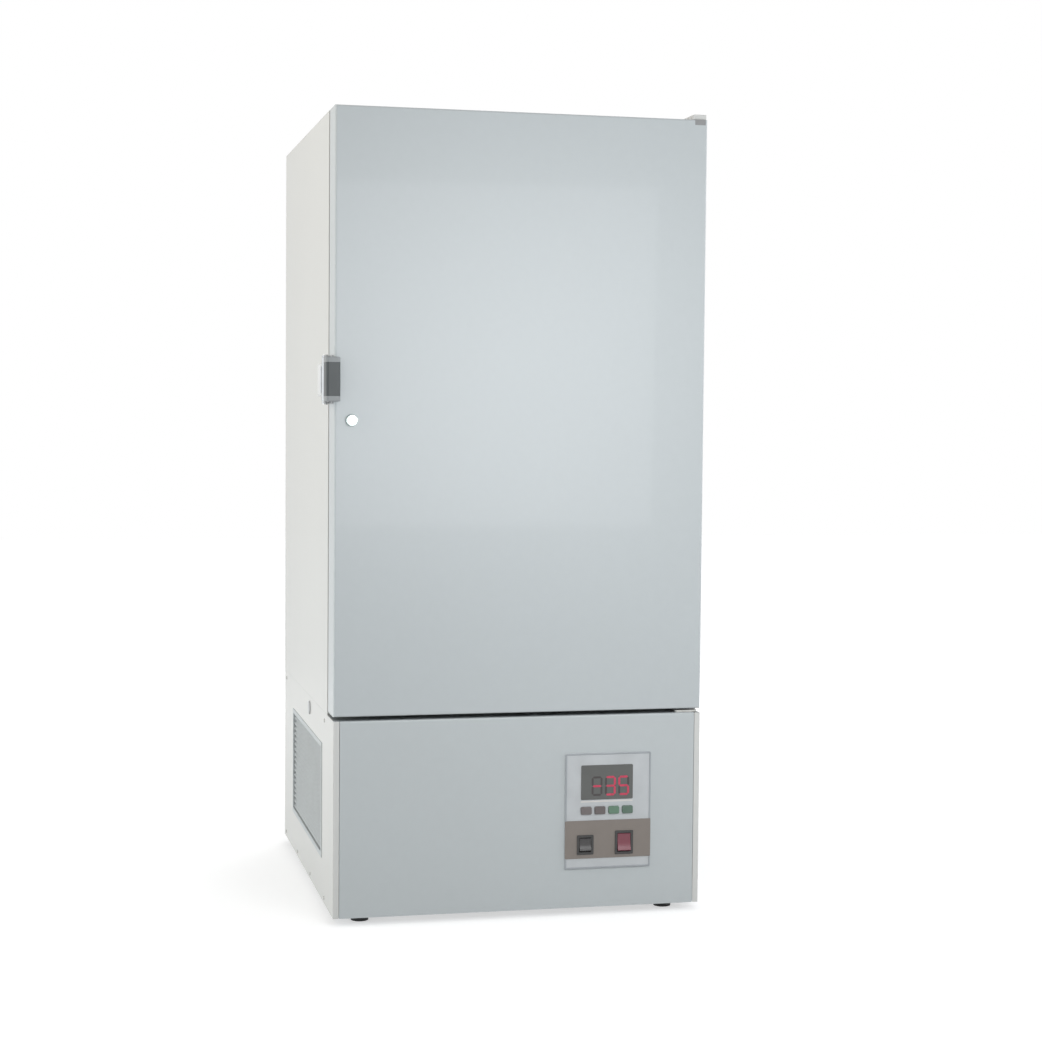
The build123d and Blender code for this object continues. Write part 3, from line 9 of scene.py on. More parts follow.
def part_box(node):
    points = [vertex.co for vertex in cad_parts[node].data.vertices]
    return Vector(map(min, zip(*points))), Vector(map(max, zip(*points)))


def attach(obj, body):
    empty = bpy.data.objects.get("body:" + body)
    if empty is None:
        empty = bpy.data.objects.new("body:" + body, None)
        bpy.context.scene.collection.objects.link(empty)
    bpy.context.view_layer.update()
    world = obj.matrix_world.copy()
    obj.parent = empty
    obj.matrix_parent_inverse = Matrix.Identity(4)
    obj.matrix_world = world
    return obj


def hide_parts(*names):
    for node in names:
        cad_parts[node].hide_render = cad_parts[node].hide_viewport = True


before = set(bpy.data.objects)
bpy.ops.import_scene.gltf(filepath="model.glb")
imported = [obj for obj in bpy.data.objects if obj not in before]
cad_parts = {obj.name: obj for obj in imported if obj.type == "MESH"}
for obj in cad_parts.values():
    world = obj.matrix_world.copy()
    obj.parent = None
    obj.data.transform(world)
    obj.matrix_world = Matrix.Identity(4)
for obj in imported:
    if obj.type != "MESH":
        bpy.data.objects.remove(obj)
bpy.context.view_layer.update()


# The viewpoint: left of the freezer's front and a little above its middle, with a long lens, as in the
# photograph. Its distance, turn, tilt and lens were solved from the cabinet's edges.
PICTURE_SIDE = 1042          # pixels
FOCAL_PIXELS = 2032.2
SENSOR_MM = 36.0
eye = Vector((-1.07305, -5.1456, 1.1973))
turn = math.radians(13.08)
tilt = math.radians(-3.02)
lean = math.radians(0.48)
forward = Vector((math.sin(turn) * math.cos(tilt), math.cos(turn) * math.cos(tilt), math.sin(tilt)))
level = Vector((math.cos(turn), -math.sin(turn), 0))
upright = level.cross(forward)
right = math.cos(lean) * level + math.sin(lean) * upright
up = math.cos(lean) * upright - math.sin(lean) * level
lens = bpy.data.cameras.new("viewpoint")
lens.sensor_width = SENSOR_MM
lens.lens = FOCAL_PIXELS / PICTURE_SIDE * SENSOR_MM
viewpoint = bpy.data.objects.new("viewpoint", lens)
viewpoint.matrix_world = Matrix((
    (right.x, up.x, -forward.x, eye.x),
    (right.y, up.y, -forward.y, eye.y),
    (right.z, up.z, -forward.z, eye.z),
    (0, 0, 0, 1)))
bpy.context.scene.collection.objects.link(viewpoint)
bpy.context.scene.camera = viewpoint


# The studio: a white floor that keeps a soft shadow, a white surround and five soft lamps. The lamp in front
# of the door makes its middle the brightest part. Of the two on the left, the upper one is warm.
FLOOR_REACH = 14.0           # from the middle of the floor to its edges
FLOOR_DROP = 0.0003          # of the floor below the soles of the feet
FLOOR_ALBEDO = (0.62, 0.62, 0.62, 1)
FLOOR_GLOW = (0.52, 0.80)    # light added to the floor where it is seen, near the object and far from it
GLOW_REACH = (0.7, 3.2)      # from the middle of the floor, to where the glow starts and stops rising
SURROUND = (0.94, 0.97, 1.0, 1)
SURROUND_LEVEL = 0.46        # of the light that the surround gives
WHITE = (1, 1, 1, 1)
LAMPS = {                    # place, aim, width, watts, colour
    "door_lamp": ((0.30, -2.25, 1.38), (0.16, -0.49, 1.28), 1.1, 17.0, (0.96, 0.98, 1.0)),
    "left_lamp": ((-3.30, -0.20, 0.75), (-0.43, 0.05, 0.90), 2.2, 40.0, (0.92, 0.98, 1.0)),
    "warm_lamp": ((-2.40, -0.60, 2.90), (-0.43, 0.05, 1.70), 1.2, 15.0, (1.0, 0.85, 0.66)),
    "right_lamp": ((3.20, -1.10, 1.70), (0.45, 0.0, 1.0), 1.8, 30.0, (0.97, 0.98, 1.0)),
    "back_lamp": ((0.70, 3.60, 1.90), (0.0, 0.5, 0.9), 2.0, 60.0, (0.98, 0.98, 1.0)),
}


def add_node(tree, kind, settings=(), **inputs):
    """New node; an input is a value or a socket to join to it, by name, or by place as in0, in1 and so on."""
    made = tree.nodes.new(kind)
    for name, value in dict(settings).items():
        setattr(made, name, value)
    for name, value in inputs.items():
        key = int(name[2:]) if name[:2] == "in" and name[2:].isdigit() else name.replace("_", " ")
        if isinstance(value, bpy.types.NodeSocket):
            tree.links.new(value, made.inputs[key])
        else:
            made.inputs[key].default_value = value
    return made


def seen_ray(tree):
    """1 for rays of the camera, of reflections and of glass, and 0 for the rays that light surfaces."""
    rays = add_node(tree, "ShaderNodeLightPath").outputs
    either = add_node(tree, "ShaderNodeMath", {"operation": "MAXIMUM"},
                      in0=rays["Is Camera Ray"], in1=rays["Is Glossy Ray"]).outputs[0]
    return add_node(tree, "ShaderNodeMath", {"operation": "MAXIMUM"},
                    in0=either, in1=rays["Is Transmission Ray"]).outputs[0]


floor_finish = bpy.data.materials.new("floor_finish")
floor_finish.use_nodes = True
floor_tree = floor_finish.node_tree
floor_tree.nodes.clear()
matt = add_node(floor_tree, "ShaderNodeBsdfDiffuse", Color=FLOOR_ALBEDO).outputs[0]
spot = add_node(floor_tree, "ShaderNodeTexCoord").outputs["Object"]
away = add_node(floor_tree, "ShaderNodeVectorMath", {"operation": "LENGTH"}, in0=spot).outputs["Value"]
level_of_glow = add_node(floor_tree, "ShaderNodeMapRange", {"interpolation_type": "SMOOTHSTEP"},
                         Value=away, From_Min=GLOW_REACH[0], From_Max=GLOW_REACH[1],
                         To_Min=FLOOR_GLOW[0], To_Max=FLOOR_GLOW[1]).outputs[0]
glow = add_node(floor_tree, "ShaderNodeEmission", Strength=level_of_glow).outputs[0]
both = add_node(floor_tree, "ShaderNodeAddShader", in0=matt, in1=glow).outputs[0]
floor_mix = add_node(floor_tree, "ShaderNodeMixShader", in0=seen_ray(floor_tree), in1=matt, in2=both)
add_node(floor_tree, "ShaderNodeOutputMaterial", Surface=floor_mix.outputs[0])

floor_corners = [(x * FLOOR_REACH, y * FLOOR_REACH, -FLOOR_DROP)
                 for x, y in ((-1, -1), (1, -1), (1, 1), (-1, 1))]
floor_mesh = bpy.data.meshes.new("floor")
floor_mesh.from_pydata(floor_corners, [], [(0, 1, 2, 3)])
floor_mesh.materials.append(floor_finish)
floor = bpy.data.objects.new("floor", floor_mesh)
bpy.context.scene.collection.objects.link(floor)

surround = bpy.data.worlds.new("surround")
bpy.context.scene.world = surround
surround.use_nodes = True
sky = surround.node_tree
sky.nodes.clear()
lit = add_node(sky, "ShaderNodeBackground", Color=SURROUND, Strength=SURROUND_LEVEL).outputs[0]
seen = add_node(sky, "ShaderNodeBackground", Color=WHITE, Strength=1.0).outputs[0]
sky_mix = add_node(sky, "ShaderNodeMixShader", in0=seen_ray(sky), in1=lit, in2=seen)
add_node(sky, "ShaderNodeOutputWorld", Surface=sky_mix.outputs[0])

for lamp_name, (stand, aim, width, watts, tint) in LAMPS.items():
    lamp_data = bpy.data.lights.new(lamp_name, "AREA")
    lamp_data.size = width
    lamp_data.energy = watts
    lamp_data.color = tint
    lamp = bpy.data.objects.new(lamp_name, lamp_data)
    lamp.location = stand
    lamp.rotation_euler = (Vector(aim) - Vector(stand)).to_track_quat("-Z", "Y").to_euler()
    lamp.visible_camera = False
    bpy.context.scene.collection.objects.link(lamp)
bpy.context.scene.view_settings.view_transform = "Standard"


# Base pan, machine deck and fan shroud: zinc-coated sheet, cut and folded, with the grain of its zinc
# crystals. The pan stands on the feet and the deck is screwed to the folded edges of the covers.
ZINC = (0.42, 0.44, 0.45)
ZINC_SPREAD = 0.12
ZINC_ROUGHNESS = 0.42
ZINC_SWING = (-0.08, 0.08)   # of the roughness, at the darkest and at the lightest shade
ZINC_METALLIC = 0.75
SPANGLE = 70.0               # zinc crystals in a metre
RAMP_ENDS = (0.28, 0.72)     # amounts at which the darkest and the lightest shade are reached
CREASE = math.radians(32)    # edges that turn by more than this stay crisp
JOIN_REACH = 1e-6            # points closer than this are one
FLAT_ANGLE = math.radians(0.4)    # triangles that turn by less than this are one flat
EASED_ANGLE = math.radians(50)    # edges that turn by more than this are eased
EASE_STEPS = 2


def new_finish(name):
    """Material with its tree, its surface shader and the coordinates of the object."""
    finish = bpy.data.materials.new(name)
    finish.use_nodes = True
    tree = finish.node_tree
    return finish, tree, tree.nodes["Principled BSDF"], add_node(tree, "ShaderNodeTexCoord").outputs["Object"]


def shades(tree, amount, colour, spread):
    """Colour that runs from darker to lighter by a share as an amount goes from 0 to 1."""
    ramp = add_node(tree, "ShaderNodeValToRGB", Fac=amount)
    for stop, position, share in zip(ramp.color_ramp.elements, RAMP_ENDS, (1 - spread, 1 + spread)):
        stop.position = position
        stop.color = tuple(min(1.0, c * share) for c in colour) + (1,)
    return ramp.outputs[0]


def tone(tree, shader, amount, colour, spread):
    """Colour of a surface, darker and lighter as an amount goes from 0 to 1."""
    tree.links.new(shades(tree, amount, colour, spread), shader.inputs["Base Color"])


def gloss(tree, shader, amount, roughness, swing):
    """Roughness of a surface, which swings round its middle value as an amount goes from 0 to 1."""
    value = add_node(tree, "ShaderNodeMapRange", Value=amount,
                     To_Min=roughness + swing[0], To_Max=roughness + swing[1]).outputs[0]
    tree.links.new(value, shader.inputs["Roughness"])


def zinc_sheet():
    """Zinc coat: flat crystals of differing shade and gloss, from a cell pattern."""
    finish, tree, shader, where = new_finish("zinc_coat")
    cells = add_node(tree, "ShaderNodeTexVoronoi", Vector=where, Scale=SPANGLE)
    shade = add_node(tree, "ShaderNodeSeparateColor", Color=cells.outputs["Color"]).outputs[0]
    tone(tree, shader, shade, ZINC, ZINC_SPREAD)
    gloss(tree, shader, shade, ZINC_ROUGHNESS, ZINC_SWING)
    shader.inputs["Metallic"].default_value = ZINC_METALLIC
    return finish


def soft_shading():
    """Node group that shades a mesh smoothly, save at the edges that turn by more than the crease angle."""
    group = bpy.data.node_groups.new("soft_shading", "GeometryNodeTree")
    group.interface.new_socket("Geometry", in_out="INPUT", socket_type="NodeSocketGeometry")
    group.interface.new_socket("Geometry", in_out="OUTPUT", socket_type="NodeSocketGeometry")
    start = add_node(group, "NodeGroupInput")
    smooth = add_node(group, "GeometryNodeSetShadeSmooth", {"domain": "FACE"},
                      Geometry=start.outputs[0], Shade_Smooth=True)
    angle = add_node(group, "GeometryNodeInputMeshEdgeAngle").outputs["Unsigned Angle"]
    gentle = add_node(group, "FunctionNodeCompare", {"operation": "LESS_THAN"}, in0=angle, in1=CREASE)
    crisp = add_node(group, "GeometryNodeSetShadeSmooth", {"domain": "EDGE"},
                     Geometry=smooth.outputs[0], Shade_Smooth=gentle.outputs[0])
    add_node(group, "NodeGroupOutput", in0=crisp.outputs[0])
    return group


SOFT_SHADING = soft_shading()


def dress(names, finish, edge=0.0):
    """Gives CAD nodes their finish, joins their triangles, eases sharp edges and shades curves."""
    for name in names:
        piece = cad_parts[name]
        for slot in piece.material_slots:
            slot.material = finish
        piece.modifiers.new("join", "WELD").merge_threshold = JOIN_REACH
        if edge:
            flat = piece.modifiers.new("flats", "DECIMATE")
            flat.decimate_type = "DISSOLVE"
            flat.angle_limit = FLAT_ANGLE
            ease = piece.modifiers.new("ease", "BEVEL")
            ease.width = edge
            ease.segments = EASE_STEPS
            ease.limit_method = "ANGLE"
            ease.angle_limit = EASED_ANGLE
        piece.modifiers.new("shading", "NODES").node_group = SOFT_SHADING
        piece.modifiers.new("flat_normals", "WEIGHTED_NORMAL").keep_sharp = True


dress(["base_pan", "machine_deck", "fan_shroud"], zinc_sheet(), edge=0.0003)


# Levelling feet: each is a rubber-soled pad on a zinc-plated stud, with a nut on top of the pan. The grains
# of this and the later finishes are noises, given as waves in a metre and levels of detail.
FOOT_PAD_TOP = 0.0101        # above the floor
RUBBER = (0.022, 0.023, 0.024)
RUBBER_BLOOM = (35.0, 4.0)
RUBBER_SKIN = (900.0, 2.0)
RUBBER_RELIEF = (0.2, 0.0002)     # strength of the skin and its depth
RUBBER_SWING = (-0.1, 0.1)
PLATED = (0.52, 0.52, 0.50)
FOOT_PATCH = (120.0, 3.0)
FOOT_SPREAD = 0.1
FOOT_ROUGHNESS = 0.61
FOOT_SWING = (-0.11, 0.11)


def noise(tree, where, grain):
    """Noise from 0 to 1 with a grain given as waves in a metre and levels of detail."""
    waves, detail = grain
    return add_node(tree, "ShaderNodeTexNoise", Vector=where, Scale=waves, Detail=detail).outputs[0]


def relief(tree, shader, height, strength, depth):
    """Fine height of a surface, from an amount."""
    bump = add_node(tree, "ShaderNodeBump", Strength=strength, Distance=depth, Height=height)
    tree.links.new(bump.outputs[0], shader.inputs["Normal"])


def rubber_finish(name, colour, roughness=0.75, spread=0.22):
    """Rubber: a faint bloom in patches and a fine dull skin."""
    finish, tree, shader, where = new_finish(name)
    bloom = noise(tree, where, RUBBER_BLOOM)
    tone(tree, shader, bloom, colour, spread)
    gloss(tree, shader, bloom, roughness, RUBBER_SWING)
    relief(tree, shader, noise(tree, where, RUBBER_SKIN), *RUBBER_RELIEF)
    return finish


def foot_finish():
    """Rubber up to the pad's top and plated steel above it, by height."""
    finish, tree, shader, where = new_finish("foot_finish")
    height = add_node(tree, "ShaderNodeSeparateXYZ", Vector=where).outputs[2]
    steel = add_node(tree, "ShaderNodeMath", {"operation": "GREATER_THAN"}, in0=height, in1=FOOT_PAD_TOP)
    patch = noise(tree, where, FOOT_PATCH)
    colour = add_node(tree, "ShaderNodeMix", {"data_type": "RGBA"}, in0=steel.outputs[0],
                      in6=RUBBER + (1,), in7=shades(tree, patch, PLATED, FOOT_SPREAD)).outputs[2]
    tree.links.new(colour, shader.inputs["Base Color"])
    tree.links.new(steel.outputs[0], shader.inputs["Metallic"])
    gloss(tree, shader, patch, FOOT_ROUGHNESS, FOOT_SWING)
    return finish


dress(["levelling_feet"], foot_finish(), edge=0.0006)


# The cooling machine behind the louvres: a black-painted compressor on rubber mounts, a finned aluminium
# condenser with its fan, copper pipes and a drier, and a plastic box for the relays.
MACHINE_BLACK = (0.018, 0.018, 0.019)
COPPER = (0.60, 0.27, 0.15)
FIN_ALUMINIUM = (0.60, 0.61, 0.62)
BOX_GREY = (0.16, 0.165, 0.17)
FAN_BLACK = (0.03, 0.03, 0.032)
ENAMEL_SPREAD = 0.022
ENAMEL_SWING = (-0.05, 0.06)
ENAMEL_DRIFT = (1.6, 3.0)
ENAMEL_MOTTLE = (60.0, 5.0)
MOTTLE_SHARE = 0.35          # of the shade that follows the mottle, with the rest left to the drift
ENAMEL_DENTS = (3.2, 1.0)
DENT_RELIEF = (0.25, 0.0016)
ENAMEL_SKIN = (620.0, 2.0)
ENAMEL_RELIEF = (0.10, 0.0003)
ENAMEL_COAT = 0.12
METAL_CLOUD = (40.0, 6.0)
METAL_GRAIN = (1400.0, 2.0)
METAL_RELIEF = (0.12, 0.0001)
METAL_SWING = (-0.06, 0.1)
PLASTIC_FLOW = (22.0, 3.0)
PLASTIC_DEPTH = 0.00015
PLASTIC_SWING = (-0.05, 0.06)
PLASTIC_GRAIN = (1100.0, 3.0)


def enamel(name, colour, roughness):
    """Sprayed enamel: a slow drift of shade, a fine mottle, and the dimpled skin of sprayed paint."""
    finish, tree, shader, where = new_finish(name)
    drift = noise(tree, where, ENAMEL_DRIFT)
    mottle = noise(tree, where, ENAMEL_MOTTLE)
    slow = add_node(tree, "ShaderNodeMath", {"operation": "MULTIPLY"},
                    in0=drift, in1=1 - MOTTLE_SHARE).outputs[0]
    shade = add_node(tree, "ShaderNodeMath", {"operation": "MULTIPLY_ADD"},
                     in0=mottle, in1=MOTTLE_SHARE, in2=slow).outputs[0]
    tone(tree, shader, shade, colour, ENAMEL_SPREAD)
    gloss(tree, shader, mottle, roughness, ENAMEL_SWING)
    dent_strength, dent_depth = DENT_RELIEF
    wave = add_node(tree, "ShaderNodeBump", Strength=dent_strength, Distance=dent_depth,
                    Height=noise(tree, where, ENAMEL_DENTS))
    skin_strength, skin_depth = ENAMEL_RELIEF
    bump = add_node(tree, "ShaderNodeBump", Strength=skin_strength, Distance=skin_depth,
                    Height=noise(tree, where, ENAMEL_SKIN), Normal=wave.outputs[0])
    tree.links.new(bump.outputs[0], shader.inputs["Normal"])
    shader.inputs["Coat Weight"].default_value = ENAMEL_COAT
    return finish


def drawn_metal(name, colour, roughness, spread=0.10):
    """Bare drawn or cast metal: cloudy tone and gloss over a fine grain."""
    finish, tree, shader, where = new_finish(name)
    cloud = noise(tree, where, METAL_CLOUD)
    tone(tree, shader, cloud, colour, spread)
    gloss(tree, shader, cloud, roughness, METAL_SWING)
    relief(tree, shader, noise(tree, where, METAL_GRAIN), *METAL_RELIEF)
    shader.inputs["Metallic"].default_value = 1.0
    return finish


def moulded(name, colour, roughness, strength=0.16, grain=PLASTIC_GRAIN, spread=0.05):
    """Moulded plastic: an even colour with faint flow marks and the fine grain of the mould."""
    finish, tree, shader, where = new_finish(name)
    flow = noise(tree, where, PLASTIC_FLOW)
    tone(tree, shader, flow, colour, spread)
    gloss(tree, shader, flow, roughness, PLASTIC_SWING)
    relief(tree, shader, noise(tree, where, grain), strength, PLASTIC_DEPTH)
    return finish


machine_black = enamel("machine_black", MACHINE_BLACK, roughness=0.35)
copper = drawn_metal("copper", COPPER, roughness=0.34, spread=0.16)
dress(["compressor", "fan_motor"], machine_black)
dress(["compressor_mounts"], rubber_finish("mount_rubber", RUBBER), edge=0.0008)
dress(["condenser"], drawn_metal("fin_aluminium", FIN_ALUMINIUM, roughness=0.42))
dress(["fan_blades"], moulded("fan_plastic", FAN_BLACK, roughness=0.5), edge=0.0004)
dress(["filter_drier", "refrigerant_pipes", "shelf_headers", "shelf_coils"], copper)
dress(["electrical_box"], moulded("box_plastic", BOX_GREY, roughness=0.55), edge=0.0008)


# Outer panels: steel sheet with a stoved off-white paint on the sides, roof and back, and the same paint in
# a pale blue-grey on the lower front cover. The covers of the machine compartment are screwed on.
SIDE_WHITE = (0.68, 0.68, 0.655)
FRONT_GREY = (0.54, 0.575, 0.58)

side_paint = enamel("side_paint", SIDE_WHITE, roughness=0.42)
front_paint = enamel("front_paint", FRONT_GREY, roughness=0.38)
dress(["upper_side_panels", "top_panel", "rear_panel", "face_frame", "hinge_cover", "rear_cover",
       "lower_side_panel_left", "lower_side_panel_right"], side_paint, edge=0.0006)
dress(["lower_front_panel"], front_paint, edge=0.0004)


# Vent grilles: moulded plastic frames with sloping slats that snap into both side covers. Their grey is a
# little darker than the covers.
GRILLE_GREY = (0.54, 0.57, 0.575)

dress(["vent_grilles"], moulded("grille_plastic", GRILLE_GREY, roughness=0.5), edge=0.0004)


# Cable outlet: a moulded blanking plug in the left cover, and a black nylon gland in the rear cover. The
# gland is where a cord would leave the machine.
PLUG_GREY = (0.44, 0.45, 0.455)
NYLON_BLACK = (0.02, 0.02, 0.02)

dress(["cable_plug"], moulded("plug_plastic", PLUG_GREY, roughness=0.35), edge=0.0005)
dress(["cord_gland"], moulded("black_nylon", NYLON_BLACK, roughness=0.45), edge=0.0005)


# Cover screws: zinc-plated pan heads with a cross recess, along the edges of the rear and side covers. Each
# head is turned by its own angle, as driven screws are.
HEAD_RADIUS = 0.0048
HEAD_HEIGHT = 0.0026
HEAD_STEPS = 24
HEAD_RINGS = np.array([0.16, 0.3, 0.42, 0.54, 0.72, 0.9, 1.0, 1.0])    # shares of the radius
HEAD_DOME = 0.75             # 0 is a flat head and 1 is half a ball
RECESS_REACH = 0.52          # of the cross, as a share of the head's radius
RECESS_HALF = 0.14           # of the cross's arms, as a share of the head's radius
RECESS_FLOOR = 0.35          # as a share of the head's height
RECESS_CENTRE = 0.30         # its deepest point, as a share of the head's height
FIRST_TURN = 0.3             # radians
NEXT_TURN = 1.1
COVER_EDGE = 0.020           # from a cover's edge to its screws
LOW_SCREWS = 0.014           # of the side covers, above their lower edge
FRONT_SCREW = 0.155          # of the side covers, from their front edge
ROW_OF_SCREWS = 4


def weave_faces(rows, columns, wrap_rows=False):
    """Quads of a grid of points, as index rows, closed along its columns, and along its rows if it wraps."""
    i, j = np.meshgrid(np.arange(rows if wrap_rows else rows - 1), np.arange(columns), indexing="ij")
    k, m = (i + 1) % rows, (j + 1) % columns
    quads = np.stack([i * columns + j, i * columns + m, k * columns + m, k * columns + j], axis=-1)
    return quads.reshape(-1, 4)


def new_piece(name, points, faces, finish, body):
    """Mesh piece from points and faces, smooth between its creases, that rides on a body."""
    mesh = bpy.data.meshes.new(name)
    mesh.from_pydata(np.asarray(points, float).tolist(), [], [tuple(face) for face in faces])
    mesh.validate()
    mesh.update()
    mesh.shade_smooth()
    mesh.set_sharp_from_angle(angle=CREASE)
    mesh.materials.append(finish)
    piece = bpy.data.objects.new(name, mesh)
    bpy.context.scene.collection.objects.link(piece)
    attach(piece, body)
    return piece


def pan_head():
    """Points and faces of one screw head: rings of a low dome, sunk where they cross the recess."""
    around = np.linspace(0, 2 * np.pi, HEAD_STEPS, endpoint=False)
    x = HEAD_RINGS[:, None] * np.cos(around)
    y = HEAD_RINGS[:, None] * np.sin(around)
    crown = np.sqrt(1 - HEAD_DOME * HEAD_RINGS ** 2)
    crown[-1] = 0.0          # the outer ring stands on the cover
    inside = (HEAD_RINGS[:, None] < RECESS_REACH) & (np.minimum(abs(x), abs(y)) < RECESS_HALF)
    height = np.where(inside, RECESS_FLOOR, crown[:, None])
    points = np.stack([x * HEAD_RADIUS, y * HEAD_RADIUS, height * HEAD_HEIGHT], axis=-1).reshape(-1, 3)
    centre = (0, 0, RECESS_CENTRE * HEAD_HEIGHT)
    hub = len(points)
    faces = weave_faces(len(HEAD_RINGS), HEAD_STEPS)[:, ::-1].tolist()
    faces += [(hub, j, (j + 1) % HEAD_STEPS) for j in range(HEAD_STEPS)]
    faces.append(tuple(range(hub - 1, hub - 1 - HEAD_STEPS, -1)))
    return np.vstack([points, centre]), faces


def screws(name, places, outward, finish):
    """One piece of screw heads at several places on the cabinet, all facing the same way."""
    head, head_faces = pan_head()
    facing = Vector(outward).to_track_quat("Z", "Y").to_matrix()
    points = []
    faces = []
    for index, place in enumerate(places):
        spin = Matrix.Rotation(FIRST_TURN + NEXT_TURN * index, 3, "Z")
        points.append(head @ np.array(facing @ spin).T + np.array(place))
        faces += [tuple(v + index * len(head) for v in face) for face in head_faces]
    return new_piece(name, np.vstack(points), faces, finish, "cabinet")


screw_steel = drawn_metal("screw_steel", PLATED, roughness=0.32)
cover_low, cover_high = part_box("rear_cover")
back_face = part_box("rear_panel")[1].y
cover_columns = np.linspace(cover_low.x + COVER_EDGE, cover_high.x - COVER_EDGE, ROW_OF_SCREWS)
rear_places = [(x, back_face, z) for z in (cover_low.z + COVER_EDGE, cover_high.z - COVER_EDGE)
               for x in cover_columns]
screws("rear_cover_screws", rear_places, (0, 1, 0), screw_steel)
for side, sign in (("left", -1), ("right", 1)):
    panel_low, panel_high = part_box(f"lower_side_panel_{side}")
    face = panel_low.x if sign < 0 else panel_high.x
    front, back = panel_low.y + FRONT_SCREW, panel_high.y - 2 * COVER_EDGE
    places = [(face, y, panel_low.z + LOW_SCREWS) for y in np.linspace(front, back, ROW_OF_SCREWS)]
    places += [(face, y, panel_high.z - COVER_EDGE) for y in (front, back)]
    screws(f"{side}_cover_screws", places, (sign, 0, 0), screw_steel)


# Chamber: foam behind a stainless liner, a plastic breaker strip round its mouth, stainless rails and the
# sensor. The liner is brushed along its length, so its gloss is drawn out.
STAINLESS = (0.60, 0.61, 0.62)
FOAM = (0.78, 0.70, 0.45)
BREAKER_WHITE = (0.70, 0.71, 0.69)
BRUSH = (3.0, 3.0, 420.0)    # lines in a metre: long along X and Y, fine up the wall
BRUSH_GRAIN = (1.0, 4.0)
BRUSH_SPREAD = 0.06
BRUSH_SWING = (-0.07, 0.09)
BRUSH_RELIEF = (0.08, 0.0001)
BRUSH_METALLIC = 0.9
FOAM_CELLS = 700.0           # cells in a metre
FOAM_SPREAD = 0.15
FOAM_RELIEF = (0.5, 0.0006)
FOAM_ROUGHNESS = 0.95


def brushed(name, colour, roughness):
    """Brushed metal: fine level lines that vary the gloss and the height."""
    finish, tree, shader, where = new_finish(name)
    stretched = add_node(tree, "ShaderNodeMapping", Vector=where, Scale=BRUSH).outputs[0]
    lines = noise(tree, stretched, BRUSH_GRAIN)
    tone(tree, shader, lines, colour, BRUSH_SPREAD)
    gloss(tree, shader, lines, roughness, BRUSH_SWING)
    relief(tree, shader, lines, *BRUSH_RELIEF)
    shader.inputs["Metallic"].default_value = BRUSH_METALLIC
    return finish


def foam_finish():
    """Cut foam: pale and open-celled."""
    finish, tree, shader, where = new_finish("foam")
    cells = add_node(tree, "ShaderNodeTexVoronoi", Vector=where, Scale=FOAM_CELLS).outputs["Distance"]
    tone(tree, shader, cells, FOAM, FOAM_SPREAD)
    relief(tree, shader, cells, *FOAM_RELIEF)
    shader.inputs["Roughness"].default_value = FOAM_ROUGHNESS
    return finish


stainless = brushed("stainless", STAINLESS, roughness=0.36)
breaker_plastic = moulded("breaker_plastic", BREAKER_WHITE, roughness=0.42, spread=0.012)
dress(["insulation_foam", "door_foam"], foam_finish())
dress(["inner_liner"], stainless)
dress(["shelf_rails"], stainless, edge=0.0006)
dress(["breaker_frame"], breaker_plastic, edge=0.0006)
dress(["temperature_probe"], drawn_metal("probe_steel", PLATED, roughness=0.3))


# Evaporator shelves: aluminium plates on the rails with the copper evaporator tube clamped under each. The
# tubes have the copper of the machine's pipes.
SHELF_ALUMINIUM = (0.66, 0.67, 0.68)
SHELF_COUNT = 3

dress([f"evaporator_shelf_{number + 1}" for number in range(SHELF_COUNT)],
      brushed("shelf_aluminium", SHELF_ALUMINIUM, roughness=0.40), edge=0.0007)


# Door: a painted steel pan filled with foam and closed by a moulded inner liner with a raised middle. The
# liner is of the same plastic as the breaker strip.
DOOR_GREY = (0.533, 0.569, 0.577)

dress(["door_skin"], enamel("door_paint", DOOR_GREY, roughness=0.36))
dress(["door_inner_liner"], breaker_plastic, edge=0.0008)


# Door seal: a soft vinyl extrusion with a flat magnet strip in front, bellows behind it and a wide foot in
# the door, in one ring with rounded corners. It stands for the plain ring of the CAD model.
SEAL_GREY = (0.30, 0.32, 0.315)
SEAL_CORNER = 0.013          # radius of the ring's middle line at its corners
ARC_STEPS = 8
SEAL_SECTION = np.array([    # millimetres across the ring and out of the door
    (-10, 0), (-10, 2.2), (-6.4, 3.0), (-7.7, 4.8), (-6.1, 6.6), (-8.2, 8.4), (-8.7, 9.6), (-8.7, 13.0),
    (-8.0, 13.7), (8.0, 13.7), (8.7, 13.0), (8.7, 9.6), (8.2, 8.4), (6.1, 6.6), (7.7, 4.8), (6.4, 3.0),
    (10, 2.2), (10, 0)]) / 1000


def round_loop(low, high, radius):
    """Points and outward directions of a rectangle in X and Z with arcs for corners, anticlockwise."""
    quarter = np.linspace(0, np.pi / 2, ARC_STEPS)
    middles = [(high[0] - radius, high[1] - radius), (low[0] + radius, high[1] - radius),
               (low[0] + radius, low[1] + radius), (high[0] - radius, low[1] + radius)]
    angles = np.concatenate([quarter + corner * np.pi / 2 for corner in range(4)])
    outward = np.stack([np.cos(angles), np.sin(angles)], axis=-1)
    return np.repeat(middles, ARC_STEPS, axis=0) + radius * outward, outward


def carry_round(section, loop, outward, level_y, direction):
    """Closed section carried round a closed loop: its first column is across the loop, its second along Y."""
    across = loop[:, None, :] + section[None, :, 0, None] * outward[:, None, :]
    depth = np.broadcast_to(level_y + direction * section[:, 1], across.shape[:2])
    points = np.stack([across[..., 0], depth, across[..., 1]], axis=-1)
    faces = weave_faces(len(loop), len(section), wrap_rows=True)
    if direction > 0:
        faces = faces[:, ::-1]
    return points.reshape(-1, 3), faces


